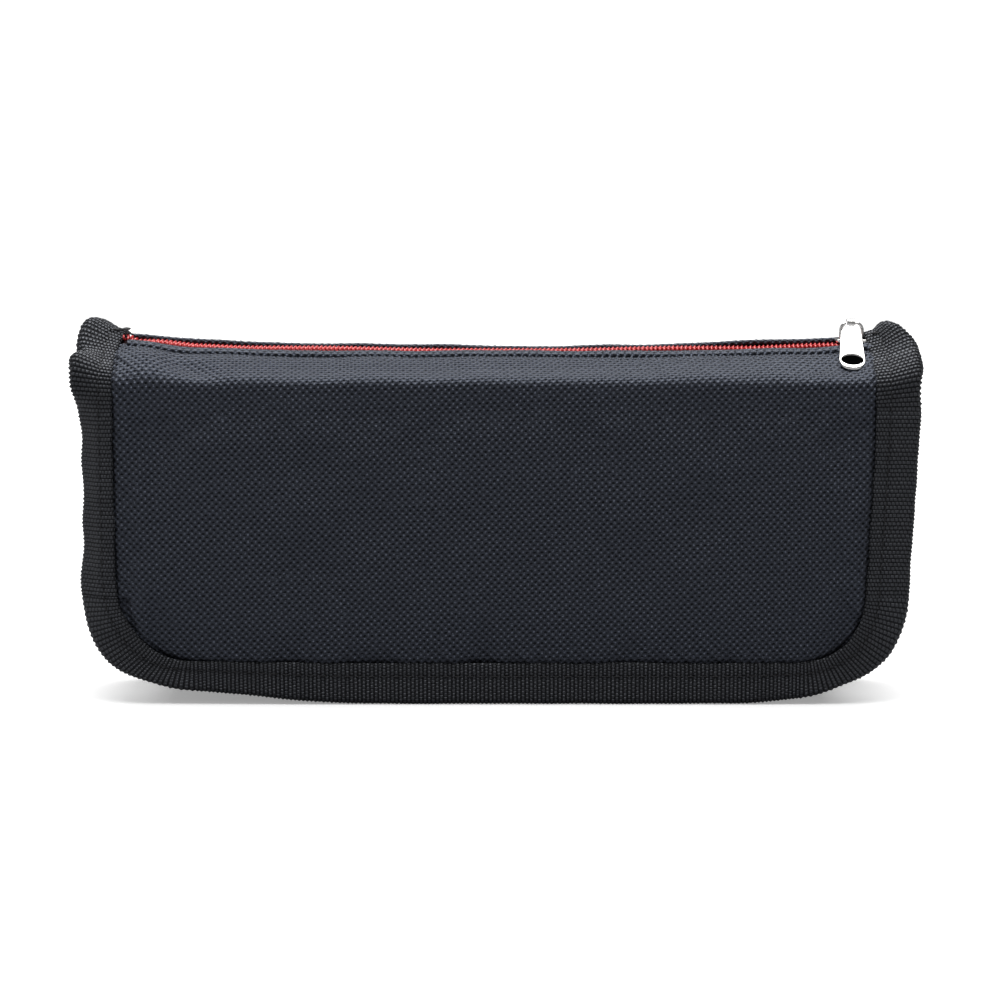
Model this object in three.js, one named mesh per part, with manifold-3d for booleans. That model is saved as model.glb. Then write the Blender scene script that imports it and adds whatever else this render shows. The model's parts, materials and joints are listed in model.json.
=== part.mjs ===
// A soft fire-resistant bag for model-aircraft battery packs: a stiff zipped pouch that stands on its
// bottom edges. Two padded panels are joined by a U-shaped gusset. Every seam sticks out as a flange with a
// folded binding tape over it. The top of each panel bends over the shoulder into half of a low roof, and
// the zip runs along the ridge between the two halves.
//
// Millimetres. Origin on the ground under the middle of the bag, +X to the right, +Y to the back, +Z up.
import * as THREE from "three";
import { mergeVertices } from "three/addons/utils/BufferGeometryUtils.js";
import Module from "manifold-3d";

const wasm = await Module();
wasm.setup();

// ---- driving dimensions ----
const SEAM_HALF_WIDTH = 111; // middle of the bag to a side seam
const SEAM_BOTTOM = 8.6; // height of the bottom seam
const SEAM_RADIUS = 26; // bottom corners, measured on the seam
const FACE_Y = 18; // middle of the bag to the outer face of a panel
const SHOULDER_Z = 92.6; // where a panel bends over into the roof
const HEM_Y = 4.6; // middle of the zip to the folded hem of a roof half
const HEM_Z = 102.5; // top of that hem
const TAPE_LEG = 12.7; // half of a 25 mm binding tape, folded over the flange
const FLANGE = 8.6; // seam to the fold of the binding tape
const FLAP_HALF_LENGTH = 92.3; // the part of the roof that can open
const ZIP_HALF_LENGTH = 106.6; // the part of the zip that shows
const SLIDER_X = 102; // middle of the slider when the zip is closed

// ---- material thicknesses and gaps ----
const FABRIC = 1.0; // coated outer fabric
const LINER = 0.8; // woven glass lining
const BOARD = 2.5; // foam board in a panel
const GUSSET_FOAM = 2.2; // softer foam in the gusset
const BINDING = 0.8; // binding tape
const ZIP_TAPE = 0.6;
const GAP = 0.3; // between neighbours that lie on each other
const SNUG = 0.2; // between the binding tape and what it wraps
const MEET = 0.1; // how far two bodies run into each other where they are joined
const BOARD_INSET = 1.5; // the foam board and the lining stop short of the seam
const ALLOWANCE = FLANGE - BINDING - 2 * SNUG; // width of the fabric edge inside the binding

const ROOF_SLOPE = Math.atan2(HEM_Z - SHOULDER_Z, FACE_Y - HEM_Y);
const EAR_ANGLE = THREE.MathUtils.degToRad(40); // how far the end flanges stand up from the roof
const PANEL_TOP = SHOULDER_Z - 1.2; // top edge of the flat panel, below the fold
const BOARD_TOP = SHOULDER_Z - 2;
const ROOF_END = FLAP_HALF_LENGTH + GAP; // the fixed roof starts here
const GUSSET_EDGE_Y = FACE_Y - FABRIC - GAP; // outer face of the gusset's turned-out edge

// ---- the zip, seen end on ----
const ZIP_SLOT = 0.7; // middle of the zip to a coil
const COIL_EDGE = 3.2; // middle of the zip to the far side of a coil
const TAPE_TOP = 101.6;
const TAPE_INNER_Y = 3.6; // where the zip tape starts to slope down under the roof
const TAPE_OUTER_Y = 9;
const COIL_BASE = TAPE_TOP + SNUG;
const COIL_TOP = COIL_BASE + 1.4;
const COIL_CHAMFER = 0.3;

// ---- slider and pull tab ----
const SLIDER_LENGTH = 9;
const SLIDER_HALF_WIDTH = 4.1;
const PLATE = 1; // thickness of the slider's two plates
const BRIDGE_R = 0.6; // wire of the bridge
const BRIDGE_RISE = 4.4; // slider's top plate to the middle of the bridge bar
const BRIDGE_SPAN = 6.4; // between the feet of the bridge
const EYE_R = 0.95; // bore of the pull tab's eye
const EYE_WALL = 0.75;
const EYE_LENGTH = 3.2;
const TAB_LENGTH = 18.3;
const TAB_THICK = 1;
const TAB_DROOP = THREE.MathUtils.degToRad(40); // rest angle of the pull tab, below level

// ---- colours ----
const OUTER_FABRIC = { color: 0x22252e, roughness: 0.75, metalness: 0 };
const TAPE_FABRIC = { color: 0x17181b, roughness: 0.85, metalness: 0 };
const GLASS_CLOTH = { color: 0xb9bdbd, roughness: 0.6, metalness: 0 };
const FOAM = { color: 0x3c3f44, roughness: 0.95, metalness: 0 };
const ZIP_CLOTH = { color: 0x1d1214, roughness: 0.9, metalness: 0 };
const RED_COIL = { color: 0xd2202a, roughness: 0.4, metalness: 0 };
const NICKEL = { color: 0xd8d9da, roughness: 0.2, metalness: 1 };
const THREAD = { color: 0x101012, roughness: 0.9, metalness: 0 };

const vec = (x, y, z) => new THREE.Vector3(x, y, z);
const X = vec(1, 0, 0);
const Y = vec(0, 1, 0);
const Z = vec(0, 0, 1);

// ---- geometry helpers ----

// Volume inside a closed indexed mesh; negative when its faces point inwards.
function signedVolume(positions, index) {
  const corner = (i) => new THREE.Vector3().fromArray(positions, 3 * index[i]);
  let sum = 0;
  for (let i = 0; i < index.length; i += 3) sum += corner(i).dot(corner(i + 1).cross(corner(i + 2)));
  return sum / 6;
}

// Triangles of a flat outline, all turning the same way as the outline itself.
function capTriangles(profile) {
  const points = profile.map(([a, b]) => new THREE.Vector2(a, b));
  const turn = Math.sign(THREE.ShapeUtils.area(points));
  return THREE.ShapeUtils.triangulateShape(points, []).map(([i, j, k]) => {
    const same = Math.sign(THREE.ShapeUtils.area([points[i], points[j], points[k]])) === turn;
    return same ? [i, j, k] : [i, k, j];
  });
}

// A closed body: the outline [a, b] is placed at each station as at + a * station.a + b * station.b.
function sweep(profile, stations) {
  const positions = [];
  for (const station of stations) {
    for (const [a, b] of profile) {
      const point = station.at.clone().addScaledVector(station.a, a).addScaledVector(station.b, b);
      positions.push(point.x, point.y, point.z);
    }
  }
  const n = profile.length;
  const index = [];
  for (let s = 0; s + 1 < stations.length; s++) {
    for (let i = 0; i < n; i++) {
      const [p, q] = [s * n + i, s * n + ((i + 1) % n)];
      index.push(p, q, q + n, p, q + n, p + n);
    }
  }
  const last = (stations.length - 1) * n;
  for (const [i, j, k] of capTriangles(profile)) index.push(i, k, j, last + i, last + j, last + k);
  if (signedVolume(positions, index) < 0) index.reverse();
  const geometry = new THREE.BufferGeometry();
  geometry.setAttribute("position", new THREE.Float32BufferAttribute(positions, 3));
  geometry.setIndex(index);
  return geometry;
}

// An outline in the Y-Z plane, drawn out along X.
function alongX(profile, fromX, toX) {
  return sweep(profile, [
    { at: vec(fromX, 0, 0), a: Y, b: Z },
    { at: vec(toX, 0, 0), a: Y, b: Z },
  ]);
}

// An outline in the X-Z plane, drawn out along Y.
function alongY(profile, fromY, toY) {
  return sweep(profile, [
    { at: vec(0, fromY, 0), a: X, b: Z },
    { at: vec(0, toY, 0), a: X, b: Z },
  ]);
}

const box = (x0, x1, y0, y1, z0, z1) =>
  alongX([[y0, z0], [y1, z0], [y1, z1], [y0, z1]], x0, x1);

// The line beside an open polyline, at a distance to its left.
function offsetLine(points, distance) {
  const p = points.map(([a, b]) => new THREE.Vector2(a, b));
  const left = (from, to) => {
    const along = to.clone().sub(from).normalize();
    return new THREE.Vector2(-along.y, along.x);
  };
  return p.map((point, i) => {
    const before = left(p[Math.max(i - 1, 0)], p[Math.max(i, 1)]);
    const after = left(p[Math.min(i, p.length - 2)], p[Math.min(i + 1, p.length - 1)]);
    const mean = before.clone().add(after).normalize();
    const moved = point.clone().addScaledVector(mean, distance / mean.dot(before));
    return [moved.x, moved.y];
  });
}

// A strip along a polyline: its two long sides lie at two distances to the left of the line.
const strip = (points, near, far) => [...offsetLine(points, near), ...offsetLine(points, far).reverse()];

function toSolid(geometry) {
  const bare = new THREE.BufferGeometry();
  bare.setAttribute("position", geometry.getAttribute("position").clone());
  if (geometry.index) bare.setIndex(geometry.index.clone());
  const merged = mergeVertices(bare, 1e-4);
  return new wasm.Manifold(
    new wasm.Mesh({
      numProp: 3,
      vertProperties: new Float32Array(merged.getAttribute("position").array),
      triVerts: new Uint32Array(merged.index.array),
    }),
  );
}

function toGeometry(solid) {
  const mesh = solid.getMesh();
  const geometry = new THREE.BufferGeometry();
  geometry.setAttribute("position", new THREE.Float32BufferAttribute(mesh.vertProperties, mesh.numProp));
  geometry.setIndex(new THREE.Uint32BufferAttribute(mesh.triVerts, 1));
  return geometry;
}

// One body out of several that run into each other.
function joined(...geometries) {
  const [first, ...rest] = geometries.map(toSolid);
  return toGeometry(rest.reduce((sum, solid) => sum.add(solid), first));
}

// A named mesh; what is seen is shaded flat, as the pieces are plain solids.
function piece(name, geometry, finish) {
  const shown = geometry.index ? geometry.toNonIndexed() : geometry;
  shown.computeVertexNormals();
  const mesh = new THREE.Mesh(shown, new THREE.MeshStandardMaterial(finish));
  mesh.name = name;
  return mesh;
}

function groupOf(...children) {
  const group = new THREE.Group();
  group.add(...children);
  return group;
}

// ---- the seam ----

// Stations along a U from one shoulder, down, along the bottom and up to the other shoulder. Each station's
// a points out of the bag, away from the seam, and its b points to the back.
function seamStations(topZ) {
  const cornerSteps = 9;
  const centreX = SEAM_HALF_WIDTH - SEAM_RADIUS;
  const centreZ = SEAM_BOTTOM + SEAM_RADIUS;
  const stations = [{ at: vec(-SEAM_HALF_WIDTH, 0, topZ), a: vec(-1, 0, 0), b: Y }];
  for (const side of [-1, 1]) {
    for (let i = 0; i <= cornerSteps; i++) {
      const turned = (Math.PI / 2) * (side < 0 ? i / cornerSteps : 1 - i / cornerSteps);
      const out = vec(side * Math.cos(turned), 0, -Math.sin(turned));
      const at = vec(side * centreX, 0, centreZ).addScaledVector(out, SEAM_RADIUS);
      stations.push({ at, a: out, b: Y });
    }
  }
  stations.push({ at: vec(SEAM_HALF_WIDTH, 0, topZ), a: vec(1, 0, 0), b: Y });
  return stations;
}

// The flat outline of a panel layer: the seam line moved out by `beyond`, closed along a straight top.
function panelOutline(beyond, topZ) {
  return seamStations(topZ).map((station) => {
    const point = station.at.clone().addScaledVector(station.a, beyond);
    return [point.x, point.z];
  });
}

// ---- one padded panel with its half of the roof; the front one is modelled ----

const shoulder = [-FACE_Y, SHOULDER_Z];
const hem = [-HEM_Y, HEM_Z];

// A layer of the roof half in the Y-Z plane: it lies `depth` below the outer face, between two Y values.
function roofLayer(fromY, toY, depth, thickness) {
  const at = (y) => [y, SHOULDER_Z + (y + FACE_Y) * Math.tan(ROOF_SLOPE)];
  return strip([at(fromY), at(toY)], -depth, -depth - thickness);
}

// The end of the roof, seen from the front: flat, then turned up as a flange, `above` its outer face.
function endFlangeLine(fromX, length) {
  const bendX = SEAM_HALF_WIDTH - MEET;
  return [
    [fromX, 0],
    [bendX, 0],
    [bendX + length * Math.cos(EAR_ANGLE), length * Math.sin(EAR_ANGLE)],
  ];
}

// Height of the roof's outer face at a distance from the middle, with a flat stretch over the zip.
function roofStation(y) {
  const overZip = Math.abs(y) < HEM_Y;
  const z = overZip ? COIL_TOP + SNUG : SHOULDER_Z + (FACE_Y - Math.abs(y)) * Math.tan(ROOF_SLOPE);
  return { at: vec(0, y, z), a: X, b: Z };
}

// Outer fabric: the panel to below the shoulder, and the two roof ends that stay closed, with their flanges.
function panelCover() {
  const panel = alongY(panelOutline(ALLOWANCE, PANEL_TOP), -FACE_Y, -FACE_Y + FABRIC);
  const fold = strip([[-FACE_Y, PANEL_TOP - 1], shoulder, hem], 0, -FABRIC);
  const flange = strip(endFlangeLine(ROOF_END + 1, ALLOWANCE), 0, -FABRIC);
  const nearShoulder = -FACE_Y + MEET;
  const nearHem = -HEM_Y - MEET;
  const ends = [1, -1].flatMap((side) => [
    alongX(fold, side * ROOF_END, side * (SEAM_HALF_WIDTH - MEET)),
    sweep(
      flange.map(([x, z]) => [side * x, z]),
      [roofStation(nearShoulder), roofStation(nearHem)],
    ),
  ]);
  return joined(panel, ...ends);
}

function flapCover() {
  const behindShoulder = -FACE_Y + 0.5;
  return alongX(roofLayer(behindShoulder, -HEM_Y, 0, FABRIC), -FLAP_HALF_LENGTH, FLAP_HALF_LENGTH);
}

// Lining under the zip tape, from inside the shoulder to clear of the slider's under plate.
function flapLiner() {
  const insideShoulder = -FACE_Y + 5;
  const besideSlider = -SLIDER_HALF_WIDTH - 2.9;
  const depth = FABRIC + ZIP_TAPE + 2 * GAP;
  return alongX(roofLayer(insideShoulder, besideSlider, depth, LINER), -FLAP_HALF_LENGTH, FLAP_HALF_LENGTH);
}

function foamBoard() {
  const inner = -FACE_Y + FABRIC + GAP;
  return alongY(panelOutline(-BOARD_INSET, BOARD_TOP), inner, inner + BOARD);
}

const LINER_FACE_Y = FACE_Y - FABRIC - BOARD - 2 * GAP; // outer face of the lining in a panel

const panelLiner = () =>
  alongY(panelOutline(-BOARD_INSET, BOARD_TOP), -LINER_FACE_Y, -LINER_FACE_Y + LINER);

// Binding tape folded over the flange: a long leg on the face, the fold, and a short leg behind.
function panelBinding() {
  const frontFace = -FACE_Y - SNUG - BINDING;
  const backFace = -GUSSET_EDGE_Y + FABRIC + SNUG + BINDING;
  const shortLegStart = 0.5;
  const profile = [
    [FLANGE - TAPE_LEG, frontFace],
    [FLANGE, frontFace],
    [FLANGE, backFace],
    [shortLegStart, backFace],
    [shortLegStart, backFace - BINDING],
    [FLANGE - BINDING, backFace - BINDING],
    [FLANGE - BINDING, frontFace + BINDING],
    [FLANGE - TAPE_LEG, frontFace + BINDING],
  ];
  return sweep(profile, seamStations(PANEL_TOP));
}

// Zip tape: flat beside the slot, then sloping down under the roof.
function zipTapeProfile() {
  const run = TAPE_OUTER_Y - TAPE_INNER_Y;
  const line = [
    [-TAPE_OUTER_Y, TAPE_TOP - run * Math.tan(ROOF_SLOPE)],
    [-TAPE_INNER_Y, TAPE_TOP],
    [-ZIP_SLOT, TAPE_TOP],
  ];
  return strip(line, 0, -ZIP_TAPE);
}

const coilProfile = () => [
  [-COIL_EDGE, COIL_BASE],
  [-ZIP_SLOT, COIL_BASE],
  [-ZIP_SLOT, COIL_TOP - COIL_CHAMFER],
  [-ZIP_SLOT - COIL_CHAMFER, COIL_TOP],
  [-COIL_EDGE + COIL_CHAMFER, COIL_TOP],
  [-COIL_EDGE, COIL_TOP - COIL_CHAMFER],
];

const zipTape = () => alongX(zipTapeProfile(), -FLAP_HALF_LENGTH, FLAP_HALF_LENGTH);
const zipCoil = () => alongX(coilProfile(), -FLAP_HALF_LENGTH, FLAP_HALF_LENGTH);

function panelHalf(side) {
  return groupOf(
    piece(side + "_cover", panelCover(), OUTER_FABRIC),
    piece(side + "_foam_board", foamBoard(), FOAM),
    piece(side + "_liner", panelLiner(), GLASS_CLOTH),
    piece(side + "_binding", panelBinding(), TAPE_FABRIC),
    piece(side + "_flap_cover", flapCover(), OUTER_FABRIC),
    piece(side + "_flap_liner", flapLiner(), GLASS_CLOTH),
    piece(side + "_zip_tape", zipTape(), ZIP_CLOTH),
    piece(side + "_zip_coil", zipCoil(), RED_COIL),
  );
}

// ---- gusset: one strip down a side, along the bottom and up the other side ----

// Outer fabric: a channel whose edges turn out into the flanges, with a gable under the roof at each end.
function gussetCover() {
  const edge = GUSSET_EDGE_Y;
  const profile = [
    [-FABRIC, -edge],
    [ALLOWANCE, -edge],
    [ALLOWANCE, -edge + FABRIC],
    [0, -edge + FABRIC],
    [0, edge - FABRIC],
    [ALLOWANCE, edge - FABRIC],
    [ALLOWANCE, edge],
    [-FABRIC, edge],
  ];
  const topZ = PANEL_TOP - 0.4;
  const underRoof = (y) => SHOULDER_Z + (FACE_Y - y) * Math.tan(ROOF_SLOPE) - FABRIC - 3 * GAP;
  const gableFoot = topZ - 1;
  const gable = [
    [-edge + FABRIC, gableFoot],
    [edge - FABRIC, gableFoot],
    [edge - FABRIC, underRoof(edge - FABRIC)],
    [HEM_Y, underRoof(HEM_Y)],
    [-HEM_Y, underRoof(HEM_Y)],
    [-edge + FABRIC, underRoof(edge - FABRIC)],
  ];
  const gables = [1, -1].map((side) =>
    alongX(gable, side * (SEAM_HALF_WIDTH - FABRIC), side * SEAM_HALF_WIDTH),
  );
  return joined(sweep(profile, seamStations(topZ)), ...gables);
}

// A flat layer inside the gusset, between two depths below its outer face.
function gussetLayer(depth, thickness) {
  const halfWidth = LINER_FACE_Y - LINER - GAP;
  const profile = [
    [-depth - thickness, -halfWidth],
    [-depth, -halfWidth],
    [-depth, halfWidth],
    [-depth - thickness, halfWidth],
  ];
  return sweep(profile, seamStations(BOARD_TOP));
}

function gusset() {
  const foamDepth = FABRIC + GAP;
  const linerDepth = foamDepth + GUSSET_FOAM + GAP;
  return groupOf(
    piece("gusset_cover", gussetCover(), OUTER_FABRIC),
    piece("gusset_foam", gussetLayer(foamDepth, GUSSET_FOAM), FOAM),
    piece("gusset_liner", gussetLayer(linerDepth, LINER), GLASS_CLOTH),
  );
}

// ---- the two ends of the roof; the right one is modelled ----

// Binding tape over the turned-up flange, from one shoulder over the end of the zip to the other.
function endBinding() {
  const innerEdge = SEAM_HALF_WIDTH + FLANGE - TAPE_LEG;
  const upper = endFlangeLine(innerEdge, FLANGE);
  const inside = FLANGE - BINDING;
  const upperInside = endFlangeLine(innerEdge, inside);
  const lower = upper.slice(1);
  const lowerInside = upperInside.slice(1);
  const below = FABRIC + SNUG;
  const shortLegStart = 0.6;
  const legStart = shortLegStart / FLANGE;
  const shorten = ([start, end], share) => [
    [start[0] + (end[0] - start[0]) * share, start[1] + (end[1] - start[1]) * share],
    end,
  ];
  const profile = [
    ...offsetLine(upper, SNUG + BINDING),
    ...offsetLine(shorten(lower, legStart), -below - BINDING).reverse(),
    ...offsetLine(shorten(lowerInside, legStart), -below),
    ...offsetLine(upperInside, SNUG).reverse(),
  ];
  const insideFace = 0.6;
  const reach = FACE_Y - insideFace;
  const flat = COIL_EDGE + SNUG;
  const stations = [-reach, -HEM_Y, -flat, flat, HEM_Y, reach].map(roofStation);
  return sweep(profile, stations);
}

// The end of the zip, held in the seam: both tapes and both coils, joined past the slider's last place.
function zipEnd() {
  const endX = SEAM_HALF_WIDTH - FABRIC - GAP;
  const mirror = (profile) => profile.map(([y, z]) => [-y, z]);
  const pastSlider = 0.6;
  const joinStart = ZIP_HALF_LENGTH + pastSlider;
  const joinHalf = ZIP_SLOT + 0.5;
  const bars = [zipTapeProfile(), mirror(zipTapeProfile())].map((p) => alongX(p, ROOF_END, endX));
  const tape = ZIP_TAPE / 2;
  const coils = [-1, 1].map((side) => {
    const [near, far] = [side * ZIP_SLOT, side * COIL_EDGE];
    return box(ROOF_END, endX, Math.min(near, far), Math.max(near, far), TAPE_TOP - tape, COIL_TOP);
  });
  const join = box(joinStart, endX, -joinHalf, joinHalf, TAPE_TOP - tape, COIL_TOP);
  return joined(...bars, ...coils, join);
}

// Close zigzag stitches across the end of the zip, on top of the binding.
function bartack() {
  const middleX = SEAM_HALF_WIDTH - 2.2;
  const half = 0.8;
  const height = 0.5;
  const base = roofStation(0).at.z + SNUG + BINDING + SNUG;
  return box(middleX - half, middleX + half, -COIL_EDGE, COIL_EDGE, base, base + height);
}

function roofEnd(side) {
  return groupOf(
    piece(side + "_end_binding", endBinding(), TAPE_FABRIC),
    piece(side + "_zip_end", zipEnd(), RED_COIL),
    piece(side + "_bartack", bartack(), THREAD),
  );
}

// ---- slider and pull tab, modelled round the slider's middle ----

const TOP_PLATE_Z = COIL_TOP + GAP;
const BRIDGE_Z = TOP_PLATE_Z + PLATE + BRIDGE_RISE;

// The slider's outline from above: a shield, with its wide end leading towards the closed end of the zip.
function sliderOutline() {
  const half = SLIDER_LENGTH / 2;
  const shape = new THREE.Shape();
  shape.moveTo(half, -SLIDER_HALF_WIDTH + 1.2);
  shape.quadraticCurveTo(half, -SLIDER_HALF_WIDTH, half - 1.4, -SLIDER_HALF_WIDTH);
  shape.lineTo(-half + 1, -SLIDER_HALF_WIDTH + 0.8);
  shape.quadraticCurveTo(-half, -SLIDER_HALF_WIDTH + 0.9, -half, -SLIDER_HALF_WIDTH + 2);
  shape.lineTo(-half, SLIDER_HALF_WIDTH - 2);
  shape.quadraticCurveTo(-half, SLIDER_HALF_WIDTH - 0.9, -half + 1, SLIDER_HALF_WIDTH - 0.8);
  shape.lineTo(half - 1.4, SLIDER_HALF_WIDTH);
  shape.quadraticCurveTo(half, SLIDER_HALF_WIDTH, half, SLIDER_HALF_WIDTH - 1.2);
  shape.closePath();
  return shape;
}

// Two plates with the wedge post between them; the coils run in the slots beside the post.
function sliderBody() {
  const plateAt = (z) =>
    new THREE.ExtrudeGeometry(sliderOutline(), { depth: PLATE, bevelEnabled: false, curveSegments: 4 })
      .translate(0, 0, z);
  const underPlate = TAPE_TOP - ZIP_TAPE - 3 * GAP - PLATE;
  const half = ZIP_SLOT - GAP;
  const postStart = 1;
  const postEnd = SLIDER_LENGTH / 2 - 0.4;
  const post = box(postStart, postEnd, -half, half, underPlate + MEET, TOP_PLATE_Z + MEET);
  return joined(plateAt(underPlate), plateAt(TOP_PLATE_Z), post);
}

// Wire bridge over the top plate, which the pull tab's eye hangs on.
function sliderBridge() {
  const foot = TOP_PLATE_Z + PLATE + GAP;
  const half = BRIDGE_SPAN / 2;
  const bend = 1.4;
  const path = new THREE.CurvePath();
  const line = (from, to) => path.add(new THREE.LineCurve3(from, to));
  line(vec(-half, 0, foot), vec(-half, 0, BRIDGE_Z - bend));
  path.add(
    new THREE.QuadraticBezierCurve3(
      vec(-half, 0, BRIDGE_Z - bend),
      vec(-half, 0, BRIDGE_Z),
      vec(-half + bend, 0, BRIDGE_Z),
    ),
  );
  line(vec(-half + bend, 0, BRIDGE_Z), vec(half - bend, 0, BRIDGE_Z));
  path.add(
    new THREE.QuadraticBezierCurve3(
      vec(half - bend, 0, BRIDGE_Z),
      vec(half, 0, BRIDGE_Z),
      vec(half, 0, BRIDGE_Z - bend),
    ),
  );
  line(vec(half, 0, BRIDGE_Z - bend), vec(half, 0, foot));
  const wire = new THREE.Shape().absarc(0, 0, BRIDGE_R, 0, 2 * Math.PI);
  return new THREE.ExtrudeGeometry(wire, { steps: 24, curveSegments: 5, extrudePath: path });
}

// Pull tab along -Y from its eye: a tapered plate with a rounded end and an oval finger hole.
function pullTab() {
  const topHalf = 2.9;
  const endHalf = 3.9;
  const endRound = 2.6;
  const neck = 1.2;
  const startY = EYE_R + 0.2;
  const outline = new THREE.Shape();
  outline.moveTo(-topHalf, -startY - neck);
  outline.lineTo(-endHalf, -TAB_LENGTH + endRound);
  outline.quadraticCurveTo(-endHalf + 0.2, -TAB_LENGTH, 0, -TAB_LENGTH);
  outline.quadraticCurveTo(endHalf - 0.2, -TAB_LENGTH, endHalf, -TAB_LENGTH + endRound);
  outline.lineTo(topHalf, -startY - neck);
  outline.lineTo(EYE_LENGTH / 2, -startY);
  outline.lineTo(-EYE_LENGTH / 2, -startY);
  outline.closePath();
  outline.holes.push(new THREE.Path().absellipse(0, -TAB_LENGTH + 3, 2.8, 1.4, 0, 2 * Math.PI, true));
  const plate = new THREE.ExtrudeGeometry(outline, {
    depth: TAB_THICK,
    bevelEnabled: false,
    curveSegments: 6,
  }).translate(0, 0, -TAB_THICK / 2);
  const ring = new THREE.Shape().absarc(0, 0, EYE_R + EYE_WALL, 0, 2 * Math.PI);
  ring.holes.push(new THREE.Path().absarc(0, 0, EYE_R, 0, 2 * Math.PI, true));
  const eye = new THREE.ExtrudeGeometry(ring, {
    depth: EYE_LENGTH,
    bevelEnabled: false,
    curveSegments: 8,
  })
    .translate(0, 0, -EYE_LENGTH / 2)
    .rotateY(Math.PI / 2);
  return joined(plate, eye);
}

function slider() {
  const tab = piece("pull_tab", pullTab(), NICKEL);
  tab.position.z = BRIDGE_Z;
  tab.rotation.x = TAB_DROOP;
  const group = groupOf(
    piece("slider_body", sliderBody(), NICKEL),
    piece("slider_bridge", sliderBridge(), NICKEL),
    tab,
  );
  group.position.x = SLIDER_X;
  return group;
}

// ---- the bag ----

const turnedRound = (group) => {
  group.rotation.z = Math.PI;
  return group;
};

const bag = groupOf(
  panelHalf("front"),
  turnedRound(panelHalf("back")),
  gusset(),
  roofEnd("right"),
  turnedRound(roofEnd("left")),
  slider(),
);
bag.name = "battery_safe_bag";

export default bag;
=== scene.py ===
"""Looks of a zipped fire-resistant battery bag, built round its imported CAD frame.

Sizes in this script are millimetres, and meshes are stored in metres. A piece is modelled in the CAD's own
frame: the front faces -Y, +X is to the right, +Z is up. The back half is the front half's mirror image in Y,
with its own small irregularities.
"""

import json
import math

import bpy
import numpy as np
from mathutils import Matrix, Vector


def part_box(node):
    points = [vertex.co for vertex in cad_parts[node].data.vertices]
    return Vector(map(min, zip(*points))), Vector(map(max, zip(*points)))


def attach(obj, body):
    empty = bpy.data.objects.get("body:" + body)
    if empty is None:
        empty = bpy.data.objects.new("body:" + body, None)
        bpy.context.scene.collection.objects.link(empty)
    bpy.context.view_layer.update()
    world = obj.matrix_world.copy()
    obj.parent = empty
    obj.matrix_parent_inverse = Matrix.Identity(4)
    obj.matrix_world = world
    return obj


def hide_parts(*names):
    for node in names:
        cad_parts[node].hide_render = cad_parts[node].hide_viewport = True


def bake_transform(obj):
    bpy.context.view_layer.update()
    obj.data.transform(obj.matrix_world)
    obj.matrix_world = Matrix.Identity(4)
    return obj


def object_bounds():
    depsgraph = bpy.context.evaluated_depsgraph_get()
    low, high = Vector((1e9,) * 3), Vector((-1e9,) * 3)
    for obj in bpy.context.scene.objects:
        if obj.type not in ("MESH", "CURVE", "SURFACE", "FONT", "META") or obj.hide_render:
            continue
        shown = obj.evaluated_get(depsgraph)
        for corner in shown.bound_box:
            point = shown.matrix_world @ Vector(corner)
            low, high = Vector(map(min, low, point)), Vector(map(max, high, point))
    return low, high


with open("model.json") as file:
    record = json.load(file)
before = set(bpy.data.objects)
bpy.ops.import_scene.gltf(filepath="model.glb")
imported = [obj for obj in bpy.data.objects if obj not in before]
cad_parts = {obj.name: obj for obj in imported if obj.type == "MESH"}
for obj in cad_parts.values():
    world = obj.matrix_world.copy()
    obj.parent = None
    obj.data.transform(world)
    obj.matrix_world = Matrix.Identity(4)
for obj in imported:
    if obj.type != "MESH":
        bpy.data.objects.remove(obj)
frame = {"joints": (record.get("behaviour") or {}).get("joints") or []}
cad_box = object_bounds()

MM = 0.001


def node_box(name):
    """Lowest and highest corner of a CAD node, in millimetres."""
    low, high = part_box(name)
    return np.array(low) / MM, np.array(high) / MM


joints = {joint["name"]: joint for joint in frame["joints"]}

# ---- sizes taken from the frame ----
FACE_Y = -joints["front_roof_fold"]["pos_m"][1] / MM  # middle of the bag to a panel's face
SHOULDER_Z = joints["front_roof_fold"]["pos_m"][2] / MM
FLANGE = 8.6  # seam to the fold of the binding tape
LEG = 4.1  # the rest of the tape's front leg, on the panel
SEAM_X = node_box("front_binding")[1][0] - FLANGE
COIL_TOP = node_box("front_zip_coil")[1][2]
HEM_Y = -node_box("front_flap_cover")[1][1]
FLAP_X = node_box("front_flap_cover")[1][0]
PIVOT = np.array(joints["tab_swing"]["pos_m"]) / MM
SLIDER_X = (node_box("slider_body")[0][0] + node_box("slider_body")[1][0]) / 2

# ---- textile sizes ----
YARN = 1.06  # pitch of the outer fabric's yarns
WEAVE_TILT = math.radians(2.5)  # the panels are cut a little off the grain
RIB = 1.18  # pitch of the binding tape's ribs
TAPE_STEP = RIB / 4
SEWN = LEG + 0.4  # from the tape's inner edge to the line it is sewn along
BEAD = 1.1  # pitch of the yarns across a rib
COIL_PITCH = 1.25


# ---------------------------------------------------------------- numbers


def smooth(value, low, high):
    """0 below low, 1 above high, and smooth in between."""
    t = np.clip((value - low) / (high - low), 0.0, 1.0)
    return t * t * (3 - 2 * t)


def wobble(t, seed, wavelengths, size):
    """A smooth irregular curve along t, out of a few sines with seeded phases."""
    phases = np.random.default_rng(seed).uniform(0, 2 * math.pi, len(wavelengths))
    waves = [np.sin(2 * math.pi * t / w + p) for w, p in zip(wavelengths, phases)]
    return size * sum(waves) / math.sqrt(len(wavelengths))


def bell(value, middle, width):
    """A smooth bump of height 1."""
    return np.exp(-(((value - middle) / width) ** 2))


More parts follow.
